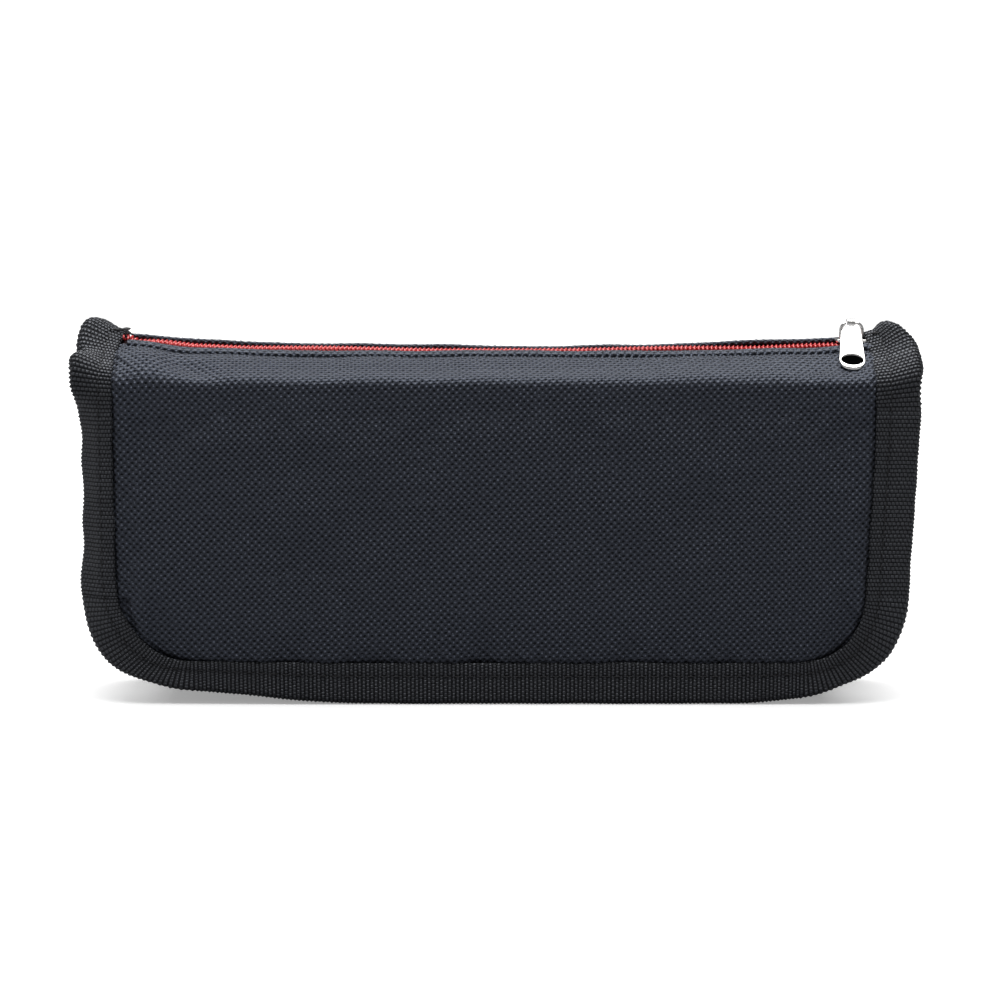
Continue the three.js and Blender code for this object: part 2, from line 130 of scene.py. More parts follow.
def spline(knots, step):
    """Points every `step` along a smooth curve through the knots; further columns are carried along."""
    knots = np.asarray(knots, float)
    padded = np.vstack([2 * knots[0] - knots[1], knots, 2 * knots[-1] - knots[-2]])
    fine = []
    for p0, p1, p2, p3 in zip(padded, padded[1:], padded[2:], padded[3:]):
        t = np.linspace(0, 1, 40, endpoint=False)[:, None]
        fine.append(
            0.5 * (2 * p1 + (p2 - p0) * t + (2 * p0 - 5 * p1 + 4 * p2 - p3) * t**2
                   + (3 * p1 - p0 - 3 * p2 + p3) * t**3)
        )
    fine = np.vstack(fine + [knots[-1:]])
    return resample(fine, step)


def resample(points, step, dims=3):
    """The same curve with evenly spaced points; the first `dims` columns are places."""
    gaps = np.linalg.norm(np.diff(points[:, :dims], axis=0), axis=1)
    along = np.concatenate([[0], np.cumsum(gaps)])
    count = max(2, int(round(along[-1] / step)) + 1)
    wanted = np.linspace(0, along[-1], count)
    return np.stack([np.interp(wanted, along, column) for column in points.T], axis=1)


def unit(vectors):
    return vectors / np.maximum(np.linalg.norm(vectors, axis=-1, keepdims=True), 1e-12)


def tangents(points):
    return unit(np.gradient(points, axis=0))


# ---------------------------------------------------------------- meshes


def grid_quads(rows, cols, wrap_rows=False, wrap_cols=False):
    """Quads of a grid of points numbered row by row."""
    r = np.arange(rows if wrap_rows else rows - 1)
    c = np.arange(cols if wrap_cols else cols - 1)
    r, c = np.meshgrid(r, c, indexing="ij")
    r2, c2 = (r + 1) % rows, (c + 1) % cols
    quads = np.stack([r * cols + c, r * cols + c2, r2 * cols + c2, r2 * cols + c], axis=-1)
    return quads.reshape(-1, 4)


def ring_faces(count, sides):
    """Faces of a solid made of `count` closed rings of `sides` points each, with a cap at either end."""
    faces = [list(quad) for quad in grid_quads(count, sides, False, True)]
    faces.append(list(range(sides))[::-1])
    faces.append([(count - 1) * sides + i for i in range(sides)])
    return faces


USED = {}  # by object: which of the points it was made from are left


def settled(points):
    """The bag as it has settled: its lower corners lift a little, and its sides lean in lower down."""
    x, y, z = points.T
    left, right = smooth(-x, 25, 92), smooth(x, 55, 105)
    lift = (3.9 * left**2 + 3.2 * right**2) * (1 - smooth(z, 0, 16)) * (1 - 0.5 * smooth(np.abs(x), 100, 118))
    lean = 2.4 * (x > 0) * (1 - smooth(z, 18, 96)) * smooth(np.abs(x), 70, 112)
    return np.stack([x - np.sign(x) * lean, y, z + lift], axis=1)


def add_mesh(name, points, faces, attributes=None, settle=True):
    """A smooth-shaded object from points in millimetres and faces; loose points are dropped."""
    points = np.asarray(points, float).reshape(-1, 3)
    if settle:
        points = settled(points)
    sizes = [len(face) for face in faces]
    corners = np.concatenate([np.asarray(face, int) for face in faces])
    used, corners = np.unique(corners, return_inverse=True)
    mesh = bpy.data.meshes.new(name)
    mesh.vertices.add(len(used))
    mesh.vertices.foreach_set("co", (points[used] * MM).astype(np.float32).ravel())
    mesh.loops.add(len(corners))
    mesh.loops.foreach_set("vertex_index", corners.astype(np.int32))
    mesh.polygons.add(len(sizes))
    starts = np.concatenate([[0], np.cumsum(sizes)[:-1]])
    mesh.polygons.foreach_set("loop_start", starts.astype(np.int32))
    mesh.polygons.foreach_set("use_smooth", np.ones(len(sizes), bool))
    for key, values in (attributes or {}).items():
        layer = mesh.attributes.new(key, "FLOAT", "POINT")
        layer.data.foreach_set("value", np.asarray(values, np.float32).ravel()[used])
    mesh.update(calc_edges=True)
    mesh.validate()
    made = bpy.data.objects.new(name, mesh)
    bpy.context.scene.collection.objects.link(made)
    USED[name] = used
    return made


def tube(path, radius, sides):
    """Points and faces of a round tube along a path, closed at both ends."""
    path = np.asarray(path, float)
    along = tangents(path)
    side = unit(np.cross(along, unit(np.array([0.31, 0.77, 0.55]))))
    other = np.cross(along, side)
    angles = np.linspace(0, 2 * math.pi, sides, endpoint=False)
    ring = np.cos(angles)[None, :, None] * side[:, None] + np.sin(angles)[None, :, None] * other[:, None]
    points = (path[:, None] + radius * ring).reshape(-1, 3)
    return points, ring_faces(len(path), sides)


def many(shapes):
    """Several (points, faces) shapes as one."""
    points, faces, start = [], [], 0
    for shape_points, shape_faces in shapes:
        points.append(shape_points)
        faces += [[i + start for i in face] for face in shape_faces]
        start += len(shape_points)
    return np.vstack(points), faces


def on_side(side, points, faces):
    """A shape made for the front (side -1), or its mirror image on the other side of the zip (side 1)."""
    if side < 0:
        return points, faces
    return np.asarray(points) * [1, -1, 1], [list(face)[::-1] for face in faces]


def add_rings(name, rings, u, v, side=-1, keys=("fabric_u", "fabric_v"), inside_out=False):
    """A solid made of closed rings of places; u and v are the cloth's coordinates at the places."""
    faces = ring_faces(*rings.shape[:2])
    if inside_out:
        faces = [face[::-1] for face in faces]
    attributes = {key: np.broadcast_to(values, rings.shape[:2]) for key, values in zip(keys, (u, v))}
    return add_mesh(name, *on_side(side, rings.reshape(-1, 3), faces), attributes)


def cloth_strip(name, side, upper, thickness, x, y):
    """A piece of cloth from a grid of places on its upper face, with fabric coordinates along x and y."""
    lower = upper - [0, 0, thickness]
    rings = np.concatenate([upper, lower[:, ::-1]], axis=1)
    return add_rings(name, rings, x[:, None], np.concatenate([y, y[::-1]]), side)


# ---------------------------------------------------------------- the shape of the bag

HEM_MID_Z = 100.6  # top of the front hem halfway along the zip
PANEL_BOTTOM = 4.0
PANEL_TOP = SHOULDER_Z - 4  # the flat panel ends here and the shoulder's curve starts
CORNER_R = 22.8  # bottom corners, measured on the seam
LEFT_SHIFT = 3.1  # the left seam lies this much further out than the right one
LEFT_TURN = math.radians(38)  # the left flange is turned back
FOLD_R = 2.1  # half the thickness of a bound flange


def hem_z(x, side):
    """Top edge of a roof half. It lifts towards the ends; the back one (side 1) stands a little higher."""
    lift = 0.9 * smooth(np.abs(x), 55, 92) + 1.3 * smooth(np.abs(x), 88, 108) + 0.9 * smooth(-x, 84, 104)
    height = HEM_MID_Z + lift + wobble(x, 3 + side, (61, 37, 23), 0.12)
    if side < 0:
        return height
    dip = 0.75 * bell(x, 12, 22) - 0.4 * smooth(-x, 45, 75)
    return height + 1.25 + 0.6 * smooth(x, 40, 75) - 0.6 * smooth(np.abs(x), 88, 104) - dip


def coil_top_z(x):
    """Top of the zip coils: level with the CAD's near the slider, lower mid-way, lifted at the left end."""
    level = COIL_TOP - 1.6 + 0.7 * smooth(np.abs(x), 15, 55) + 0.9 * smooth(np.abs(x), 70, 98)
    return level + 1.0 * smooth(-x, 88, 101) + 1.6 * smooth(-x, 104.5, 109)


def mouth(x):
    """Share of a roof half's turn that a place along the zip takes: none at the sewn ends, all mid-way."""
    return 1 - smooth(np.abs(x), 12, FLAP_X + 6)


def seam_half_width(x):
    return np.where(x < 0, SEAM_X + LEFT_SHIFT, SEAM_X)


# ---------------------------------------------------------------- outer fabric sheets


def sheet_section():
    """Section of a sheet in Y-Z, for the front: up the panel, over the shoulder, up the roof.

    Returns the distance along the section, and the places, at close steps.
    """
    knots = np.array([
        (-FACE_Y - 0.2, PANEL_BOTTOM),
        (-FACE_Y - 0.6, 30),
        (-FACE_Y - 0.7, 60),
        (-FACE_Y - 0.6, PANEL_TOP - 4),
        (-FACE_Y - 0.6, PANEL_TOP + 3.0),
        (-FACE_Y - 0.3, PANEL_TOP + 4.9),
        (-FACE_Y + 1.1, PANEL_TOP + 6.6),
        (-FACE_Y + 4.2, PANEL_TOP + 8.4),
        (-FACE_Y + 8.4, PANEL_TOP + 10.5),
        (-HEM_Y, HEM_MID_Z),
    ])
    curve = spline(np.column_stack([np.zeros(len(knots)), knots]), 0.25)[:, 1:]
    gaps = np.linalg.norm(np.diff(curve, axis=0), axis=1)
    return np.concatenate([[0], np.cumsum(gaps)]), curve


SECTION_V, SECTION_YZ = sheet_section()
HEM_V = SECTION_V[-1]  # distance along the section at which the sheet reaches the hem
ROOF_V = HEM_V - 20  # and at which the shoulder has turned into the roof


def sheet_place(x, v, side):
    """A place on the smooth sheet, `v` along its section; the roof part follows the hem's height."""
    y = np.interp(v, SECTION_V, SECTION_YZ[:, 0])
    z = np.interp(v, SECTION_V, SECTION_YZ[:, 1])
    up_roof = smooth(v, ROOF_V, HEM_V)
    mid_roof = np.sin(math.pi * up_roof)
    z = z + (hem_z(x, side) - HEM_MID_Z) * up_roof
    sag = 0.5 * mouth(x)
    folds = 1.2 * bell(x, -82 - 14 * up_roof, 5.2) + 0.7 * bell(x, 84 + 12 * up_roof, 6.5)
    swell = 1.3 * bell(x, -101, 5.5) - 1.0 * bell(x, 100, 6.0)
    return np.stack([x, y, z + (swell - folds - sag) * mid_roof], axis=-1)


def clamp_to_outline(x, v):
    """Moves places outside the sheet's outline onto it; it lies a little inside the seam."""
    out = -0.8
    v = np.clip(v, 0, HEM_V)
    reach = seam_half_width(x) + out
    centre_x = SEAM_X - CORNER_R
    centre_v = CORNER_R + FLANGE - PANEL_BOTTOM
    dx = np.abs(x) - centre_x
    dv = centre_v - v
    radius = np.hypot(dx, dv)
    limit = CORNER_R + out
    in_corner = (dx > 0) & (dv > 0) & (radius > limit)
    scale = np.where(in_corner, limit / np.maximum(radius, 1e-9), 1)
    new_x = np.where(in_corner, np.sign(x) * (centre_x + dx * scale), x)
    new_v = np.where(in_corner, centre_v - dv * scale, v)
    low = new_v < FLANGE - PANEL_BOTTOM - out
    new_v = np.where(low & ~in_corner, FLANGE - PANEL_BOTTOM - out, new_v)
    return np.clip(new_x, -reach, reach), new_v


def outline_distance(x, v):
    """How far a place lies inside the panel's seam."""
    sides = seam_half_width(x) - np.abs(x)
    low = v - (FLANGE - PANEL_BOTTOM)
    dx = np.abs(x) - (SEAM_X - CORNER_R)
    dv = CORNER_R + FLANGE - PANEL_BOTTOM - v
    corner = CORNER_R - np.hypot(dx, dv)
    return np.where((dx > 0) & (dv > 0), corner, np.minimum(sides, low))


def puffed(side):
    """Cloth simulation of a coarse sheet held at its seams: how far the fabric stands off, on a grid."""
    step = 4.0
    xs = np.arange(-SEAM_X, SEAM_X + step, step)
    vs = np.linspace(0, HEM_V, int(HEM_V / step) + 1)
    grid_x, grid_v = np.meshgrid(xs, vs)
    rest = sheet_place(grid_x, grid_v, side)
    cloth_sheet = add_mesh("cloth", rest, grid_quads(*grid_x.shape), settle=False)
    held = cloth_sheet.vertex_groups.new(name="held")
    border = np.zeros(grid_x.shape, bool)
    border[[0, -3, -2, -1]] = True
    border[:, [0, 1, -2, -1]] = True
    border |= (grid_v > HEM_V - 25) & (grid_v < HEM_V - 12)  # the shoulder fold is stiff
    held.add([int(i) for i in np.flatnonzero(border)], 1.0, "REPLACE")
    cloth = cloth_sheet.modifiers.new("cloth", "CLOTH").settings
    cloth.vertex_group_mass = "held"
    cloth.effector_weights.gravity = 0
    cloth.use_pressure = True
    cloth.uniform_pressure_force = 1.2
    cloth.shrink_min = cloth.shrink_max = -0.004
    cloth.tension_stiffness = 40
    cloth.bending_stiffness = 2.0
    for number in range(1, 21):
        bpy.context.scene.frame_set(number)
    blown = cloth_sheet.evaluated_get(bpy.context.evaluated_depsgraph_get())
    places = np.array([v.co for v in blown.data.vertices]).reshape(rest.shape) / MM
    bpy.context.scene.frame_set(1)
    bpy.data.objects.remove(cloth_sheet)
    moved = places - rest
    most = 0.9
    size = np.linalg.norm(moved, axis=-1, keepdims=True)
    return xs, vs, moved * np.minimum(1, most / np.maximum(size, 1e-9))


def cubic_weights(wanted, known):
    """Catmull-Rom weights that turn values at evenly spaced `known` places into values at `wanted` ones."""
    step = known[1] - known[0]
    place = np.clip((wanted - known[0]) / step, 0, len(known) - 1)
    left = np.minimum(place.astype(int), len(known) - 2)
    t = place - left
    near = [-0.5 * t**3 + t**2 - 0.5 * t, 1.5 * t**3 - 2.5 * t**2 + 1]
    far = [-1.5 * t**3 + 2 * t**2 + 0.5 * t, 0.5 * t**3 - 0.5 * t**2]
    columns = [np.clip(left + k, 0, len(known) - 1) for k in (-1, 0, 1, 2)]
    return columns, near + far


def sample_grid(xs, vs, values, x, v):
    """Smooth values between the points of a coarse grid."""
    x_columns, x_weights = cubic_weights(x, xs)
    v_columns, v_weights = cubic_weights(v, vs)
    total = 0
    for row, row_weight in zip(v_columns, v_weights):
        for column, weight in zip(x_columns, x_weights):
            total = total + values[row, column] * (row_weight * weight)[..., None]
    return total


def outer_sheet(name, side):
    """A panel's outer fabric with its half of the roof, woven: every thread crossing is modelled."""
    fine = YARN / 2
    half_columns = int((SEAM_X + 6 + HEM_V * math.sin(WEAVE_TILT)) / fine)
    spare = SEAM_X * math.sin(WEAVE_TILT)
    rows = np.arange(int(-spare / fine), int((HEM_V + spare) / fine) + 2)
    columns = np.arange(-half_columns, half_columns + 1)
    i, j = np.meshgrid(columns, rows)
    fabric_u, fabric_v = i * fine, j * fine
    tilt = WEAVE_TILT * side
    x = fabric_u * math.cos(tilt) + fabric_v * math.sin(tilt)
    v = -fabric_u * math.sin(tilt) + fabric_v * math.cos(tilt)
    x, v = clamp_to_outline(x, v)
    places = sheet_place(x, v, side) + sample_grid(*puffed(side), x, v)
    normals = surface_normals(lambda a, b: sheet_place(a, b, side), x, v)
    loom = np.random.default_rng(11 + side)
    thread_size = 1 + 0.25 * loom.standard_normal(len(rows))[:, None] + 0.15 * loom.standard_normal(i.shape)
    crossing = np.cos(math.pi / 2 * i) * np.cos(math.pi / 2 * j)
    nubs = np.where(crossing < 0, 1.2, 0.9) * crossing * thread_size
    drape = 0.25 * wobble(x, 5 + side, (83, 47, 31), 1) * wobble(v, 9 + side, (71, 39, 27), 1)
    inside = outline_distance(x, v)
    pucker = 0.16 * np.exp(-((inside - 5.5) / 3.5) ** 2) * wobble(v + x, 15 + side, (7.0, 4.6, 3.1), 1)
    sewn_down = 0.9 * (1 - smooth(inside, LEG - 0.9, LEG + 1.1))
    under_hem = 0.35 * smooth(v, HEM_V - 4.0, HEM_V - 2.4)
    relief = 0.125 + 0.17 * smooth(v, ROOF_V, ROOF_V + 4)
    places = places + normals * (relief * nubs + drape + pucker - sewn_down - under_hem)[..., None]
    quads = grid_quads(*i.shape)
    corners = np.stack([x, v], axis=-1).reshape(-1, 2)[quads]
    area = 0.5 * np.abs(np.cross(corners[:, 2] - corners[:, 0], corners[:, 3] - corners[:, 1]))
    quads = quads[area > 0.05 * fine * fine]
    if side > 0:
        places = places * [1, -1, 1]
        quads = quads[:, ::-1]
    attributes = {"fabric_u": fabric_u, "fabric_v": fabric_v}
    sheet = add_mesh(name, places, quads, attributes)
    weight = (mouth(x) * smooth(v, ROOF_V - 1.5, ROOF_V + 4.5)).ravel()
    return sheet, weight


def surface_normals(place, x, v):
    """Outward normals of a smooth surface given by two coordinates."""
    h = 0.4
    along_x = place(x + h, v) - place(x - h, v)
    along_v = place(x, v + h) - place(x, v - h)
    return unit(np.cross(along_x, along_v))


# ---------------------------------------------------------------- binding tape


def u_frames(inset, top, step, arc_points):
    """Places and outward directions along a U inside the seam line, left top to right top."""
    radius = CORNER_R - inset
    centre_x, centre_z = SEAM_X - CORNER_R, FLANGE + CORNER_R
    arc = np.linspace(0, math.pi / 2, int(radius * math.pi / 2 / step) + arc_points)
    left = [(-SEAM_X + inset, z, -1.0, 0.0) for z in np.arange(top, centre_z, -step)]
    left += [(-centre_x - radius * math.cos(a), centre_z - radius * math.sin(a), -math.cos(a), -math.sin(a))
             for a in arc]
    bottom = [(x, FLANGE + inset, 0.0, -1.0) for x in np.arange(-centre_x + step, centre_x, step)]
    right = [(-x, z, -out_x, out_z) for x, z, out_x, out_z in left[::-1]]
    return np.array(left + bottom + right).T


def seam_rails(side):
    """Three rails of the tape round the U, left top to right top: inner edge, seam and fold."""
    x, z, out_x, out_z = u_frames(0, SHOULDER_Z - 7, 3.0, 1)
    facing_left = np.clip(-out_x, 0, 1)
    leftness = facing_left**2 * smooth(z, 8, 40)
    turn = LEFT_TURN * leftness * (1 if side < 0 else 0.4)
    turn += math.radians(4) * wobble(x + z, 21 + side, (43, 29, 17), 1) * facing_left
    shift = LEFT_SHIFT * leftness
    out = np.stack([out_x, np.zeros_like(x), out_z], axis=1)
    back = np.array([0.0, 1.0, 0.0])
    seam = np.stack([x, np.full_like(x, -FACE_Y - 0.9), z], axis=1) + out * shift[:, None]
    waver = wobble(x + 2 * z, 25 + side, (57, 31, 19), 0.35)[:, None]
    inner = seam - out * (LEG - 0.4 + 0.4 * waver)
    sway = 0.8 * bell(z, 33, 13) - 0.9 * bell(z, 57, 9)
    reach = (FLANGE + 0.1 + 0.5 * np.abs(out_x) + sway * facing_left)[:, None] + 0.3 * waver
    fold = seam + (out * np.cos(turn)[:, None] + back * np.sin(turn)[:, None]) * reach
    inner[:, 1] -= 0.2
    return np.hstack([inner, seam, fold])


def ear_rails(side):
    """The rest of the rails, over the two ends of the roof: the left ear and the right one.

    Each row holds three places, of the inner edge, the seam and the fold; x is written from the end seam.
    """
    right = [
        ((-4.3, -18.8, 89.5), (-0.1, -18.9, 90.0), (8.9, -18.6, 91.0)),
        ((-4.5, -17.3, 94.4), (-0.2, -17.7, 94.8), (9.3, -17.9, 97.2)),
        ((-4.8, -12.4, 98.3), (-0.5, -12.4, 99.2), (8.9, -13.0, 102.4)),
        ((-5.0, -8.0, 101.1), (-0.8, -7.8, 102.1), (7.4, -8.2, 106.0)),
        ((-5.2, -4.0, 104.0), (-1.4, -3.8, 105.0), (3.4, -4.2, 108.8)),
        ((-5.8, -0.8, 106.2), (-2.6, -0.6, 107.0), (0.6, -0.8, 109.6)),
        ((-6.0, 2.6, 105.4), (-3.0, 2.8, 106.2), (-0.6, 3.0, 109.0)),
    ]
    left = [
        ((0.9, -18.8, 88.0), (-2.8, -19.1, 88.1), (-11.0, -16.2, 88.4)),
        ((0.9, -18.5, 91.0), (-2.8, -18.9, 91.2), (-11.9, -17.2, 91.8)),
        ((0.9, -17.3, 94.2), (-2.7, -17.9, 94.6), (-11.7, -17.8, 96.0)),
        ((0.9, -15.3, 96.6), (-2.6, -16.0, 97.2), (-11.2, -17.2, 100.2)),
        ((0.9, -12.8, 98.4), (-2.5, -13.4, 99.0), (-9.8, -14.6, 102.6)),
        ((1.0, -10.6, 100.0), (-2.4, -11.0, 100.6), (-7.5, -11.8, 102.2)),
        ((1.2, -8.4, 101.6), (-2.2, -8.6, 102.4), (-10.0, -9.4, 103.8)),
        ((1.6, -5.6, 103.4), (-1.8, -5.6, 104.4), (-9.8, -6.6, 107.4)),
        ((2.2, -3.4, 105.0), (-1.2, -3.2, 106.2), (-8.6, -4.0, 110.3)),
        ((3.0, -0.6, 106.4), (-0.9, -0.4, 107.6), (-6.5, -1.2, 111.2)),
        ((3.8, 3.0, 106.0), (0.1, 3.4, 107.2), (-4.0, 3.6, 109.8)),
    ]
    left, right = np.array(left).reshape(-1, 9), np.array(right).reshape(-1, 9)
    left[:, ::3] -= SEAM_X
    right[:, ::3] += SEAM_X
    if side > 0:  # the back ears end lower, behind the front ones
        for knots in (left, right):
            knots[-1, 2::3] -= 1.6
            knots[-2, 2::3] -= 1.0
            knots[-1, 1::3] -= 2.0
    return left, right


def folded_tape(side, across):
    """The folded tape's outer skin, at stations TAPE_STEP apart and at shares `across` its width.

    Returns the skin's places, its outward directions, the distances across the tape and the seam's places.
    """
    left, right = ear_rails(side)
    knots = np.vstack([left[::-1], seam_rails(side), right])
    inner_columns, seam_columns, fold_columns = [0, 1, 2], [3, 4, 5], [6, 7, 8]
    fine = spline(knots[:, seam_columns + inner_columns + fold_columns], TAPE_STEP)
    seam, inner, fold = fine[:, 0:3], fine[:, 3:6], fine[:, 6:9]
    legs = np.stack([inner, seam, fold], axis=1)
    lengths = np.array([0.0, LEG, LEG + FLANGE])
    wanted = np.linspace(0, lengths[-1], 24)
    line = np.stack([[np.interp(wanted, lengths, leg[:, k]) for k in range(3)] for leg in legs], axis=0)
    line = np.transpose(line, (0, 2, 1))
    for _ in range(8):
        line[:, 1:-1] = 0.25 * line[:, :-2] + 0.5 * line[:, 1:-1] + 0.25 * line[:, 2:]
    out = unit(np.gradient(line, axis=1))
    along = unit(np.gradient(line, axis=0))
    normal = unit(np.cross(out, along))
    back_leg = FLANGE - FOLD_R - 0.6
    front = LEG + FLANGE - FOLD_R
    bend = math.pi * FOLD_R
    t = across * (front + bend + back_leg)

    def at(position, values):
        place = np.clip(position / lengths[-1] * 23, 0, 22.999)
        low = place.astype(int)
        share = (place - low)[None, :, None]
        return values[:, low] * (1 - share) + values[:, low + 1] * share

    turned = np.clip((t - front) / bend, 0, 1) * math.pi
    on_line = np.where(t <= front, t, np.where(t >= front + bend, front - (t - front - bend), front))
    base, e, n = at(on_line, line), at(on_line, out), at(on_line, normal)
    direction = np.sin(turned)[None, :, None] * e + np.cos(turned)[None, :, None] * n
    return base - FOLD_R * n + FOLD_R * direction, direction, t, seam


def binding_tape(name, side):
    """Ribbed tape folded over a flange: every rib is modelled, broken by the yarns that cross it."""
    outer, direction, t, seam = folded_tape(side, np.linspace(0, 1, 39))
    s = np.arange(len(seam))[:, None] * TAPE_STEP
    loom = np.random.default_rng(31 + side)
    rib_number = (s / RIB + 0.5).astype(int)
    rib_phase = loom.uniform(0, 1, rib_number.max() + 1)[rib_number]
    rib_size = loom.normal(1, 0.2, rib_number.max() + 1)[rib_number]
    ridge = np.cos(2 * math.pi * s / RIB)
    dash = np.cos(2 * math.pi * (t[None] / 3.1 + 0.5 * rib_number + 0.25 * rib_phase))
    open_ribs = smooth(seam[:, 2:3], PANEL_TOP - 6, SHOULDER_Z + 2)
    edge = bell(t[None], LEG + FLANGE, 1.4)
    height = (0.07 + 0.07 * open_ribs + 0.12 * edge) * ridge * rib_size + 0.05 * dash * (0.5 + 0.5 * ridge)
    stitched_down = 0.22 * bell(t[None], SEWN, 0.6)
    selvedges = 0.45 * bell(np.minimum(t, t[-1] - t)[None], 0, 0.35)
    height = height - stitched_down - selvedges
    skin = outer + direction * height[..., None]
    under = outer[:, ::4] - direction[:, ::4] * 0.75
    rings = np.concatenate([skin, under[:, ::-1]], axis=1)
    return add_rings(name, rings, s, np.concatenate([t, t[::4][::-1]]), side, ("tape_s", "tape_t"))


def stitch(start, end, normal, radius, lift):
    """One stitch: a short thread that dips into the cloth at both ends."""
    t = np.linspace(0, 1, 5)[:, None]
    arch = np.sin(math.pi * t) * lift
    path = start + (end - start) * t + normal * (arch - 0.12)
    return tube(path, radius, 5)


def stitch_line(path, normals, pitch, length, radius, lift, step):
    """Stitches at even spacing along a path of points that lie `step` apart."""
    every, long = int(round(pitch / step)), int(round(length / step))
    starts = range(0, len(path) - long, every)
    return many([stitch(path[i], path[i + long], normals[i], radius, lift) for i in starts])


def tape_stitches(name, side):
    """The seam's stitches, along the middle of the tape."""
    outer, direction, t, _ = folded_tape(side, np.linspace(0, 1, 60))
    column = int(np.argmin(np.abs(t - SEWN)))
    shape = stitch_line(outer[:, column], direction[:, column], pitch=3.4, length=2.4, radius=0.17,
                        lift=0.08, step=TAPE_STEP)
    return add_mesh(name, *on_side(side, *shape))


# ---------------------------------------------------------------- roof details


HEM_SLOPE = math.atan2(HEM_MID_Z - SHOULDER_Z - 2.5, FACE_Y - HEM_Y - 5)
UP_ROOF = np.array([0, math.cos(HEM_SLOPE), math.sin(HEM_SLOPE)])
OFF_ROOF = np.array([0, -math.sin(HEM_SLOPE), math.cos(HEM_SLOPE)])


def hem_band(name, side):
    """The fabric's edge beside the zip, folded under into a band and stitched down."""
    step = 0.53
    x = np.arange(-SEAM_X + 3.5, SEAM_X - 3.5 + step, step)
    width, thick = 2.1, 0.8
    turn = np.linspace(-0.5 * math.pi, 0.5 * math.pi, 7)
    nose = [(thick * math.cos(a), thick * math.sin(a)) for a in turn]
    section = [(-width, -thick * 0.9)] + nose
    section += [(-width * k / 6, thick * (1 + 0.12 * math.sin(math.pi * k / 6))) for k in range(1, 6)]
    section += [(-width - 0.15, thick * 0.35)]
    section = np.array(section)
    loom = np.random.default_rng(41 + side)
    uneven = loom.standard_normal((len(x), len(section))) * 0.05
    warp, weft = np.cos(math.pi / 2 * np.arange(len(x))), np.cos(math.pi * np.arange(len(section)))
    grown = 1 + (uneven + 0.07 * warp[:, None] * weft[None]) / thick
    hem_y = -HEM_Y + wobble(x, 44 + side, (53, 29, 11), 0.12)
    edge = np.stack([x, hem_y, hem_z(x, side)], axis=-1)
    up, off = section[None, :, :1], (section[None, :, 1] * grown)[..., None]
    points = edge[:, None] + up * UP_ROOF + off * OFF_ROOF
    round_band = np.cumsum(np.r_[0, np.linalg.norm(np.diff(section, axis=0), axis=1)])
    return add_rings(name, points, x[:, None], round_band, side, inside_out=True)


def hem_stitches(name, side):
    """The line of stitches along the lower edge of the hem band."""
    step = 0.2
    x = np.arange(-SEAM_X + 5, SEAM_X - 5, step)
    edge = np.stack([x, np.full_like(x, -HEM_Y), hem_z(x, side)], axis=1)
    path = edge - 3.1 * UP_ROOF + 0.25 * OFF_ROOF
    shape = stitch_line(path, np.broadcast_to(OFF_ROOF, path.shape), pitch=2.9, length=2.0, radius=0.2,
                        lift=0.2, step=step)
    return add_mesh(name, *on_side(side, *shape))


# ---------------------------------------------------------------- zip


def zip_coil(name, side):
    """A plastic filament wound into flat teeth along the tape's edge; the halves mesh half a pitch apart."""
    left_end, right_end = 1.6, 3.0  # covered by the ears
    turns = int((2 * SEAM_X - left_end - right_end) / COIL_PITCH)
    t = np.linspace(0, turns, turns * 14)
    angle = 2 * math.pi * (t + (0.5 if side > 0 else 0))
    x = -SEAM_X + left_end + t * COIL_PITCH
    half_width, half_height = 1.45, 0.55
    squared = np.cos(angle) * (1.25 - 0.25 * np.cos(angle) ** 2)
    y = -1.75 + half_width * squared
    z = coil_top_z(x) - 0.83 + half_height * np.sin(angle)
    lean = 0.16 * COIL_PITCH * np.sin(angle)
    return add_mesh(name, *on_side(side, *tube(np.stack([x + lean, y, z], axis=1), 0.3, 6)))


def zip_tape(name, side):
    """Woven tape that carries a coil: level under it, then sloping down under the roof."""
    step = 0.5
    x = np.arange(-SEAM_X + 1.5, SEAM_X - 2.5, step)
    y = np.array([-0.75, -1.6, -2.6, -3.4, -4.2, -5.2, -6.4, -7.7, -9.0])
    below_coil = 1.65
    drop = np.maximum(-y - 3.6, 0) * math.tan(HEM_SLOPE)
    near_ends = smooth(np.abs(x), SEAM_X - LEG - 3.0, SEAM_X - LEG)[:, None]
    clearance = 0.2 * smooth(-y, 4, 6) + 1.2 * near_ends * smooth(-y, 2.0, 3.4)
    ribs = 0.05 * np.cos(math.pi * np.arange(len(x)))[:, None]
    z = (coil_top_z(x) - below_coil)[:, None] - drop - clearance + ribs
    upper = np.stack(np.broadcast_arrays(x[:, None], y[None], z), axis=-1)
    return cloth_strip(name, side, upper, 0.55, x, y)


def bartack(name, sign):
    """Close zigzag stitches across the end of the zip, on the ear."""
    low, high = node_box(("right" if sign > 0 else "left") + "_bartack")
    x = (low[0] + high[0]) / 2
    shapes = []
    for row in (0.0, 2.6):
        for k in range(9):
            y = -2.6 + 0.65 * k
            z = coil_top_z(np.array(x)) + (3.0 if sign > 0 else 1.4)
            a = np.array([x - 1.2 + sign * row, y, z])
            b = np.array([x + 1.2 + sign * row, y + 0.3, z])
            shapes.append(stitch(a, b, np.array([0, 0, 1.0]), 0.2, 0.3))
    return add_mesh(name, *many(shapes))


# ---------------------------------------------------------------- gusset and inside


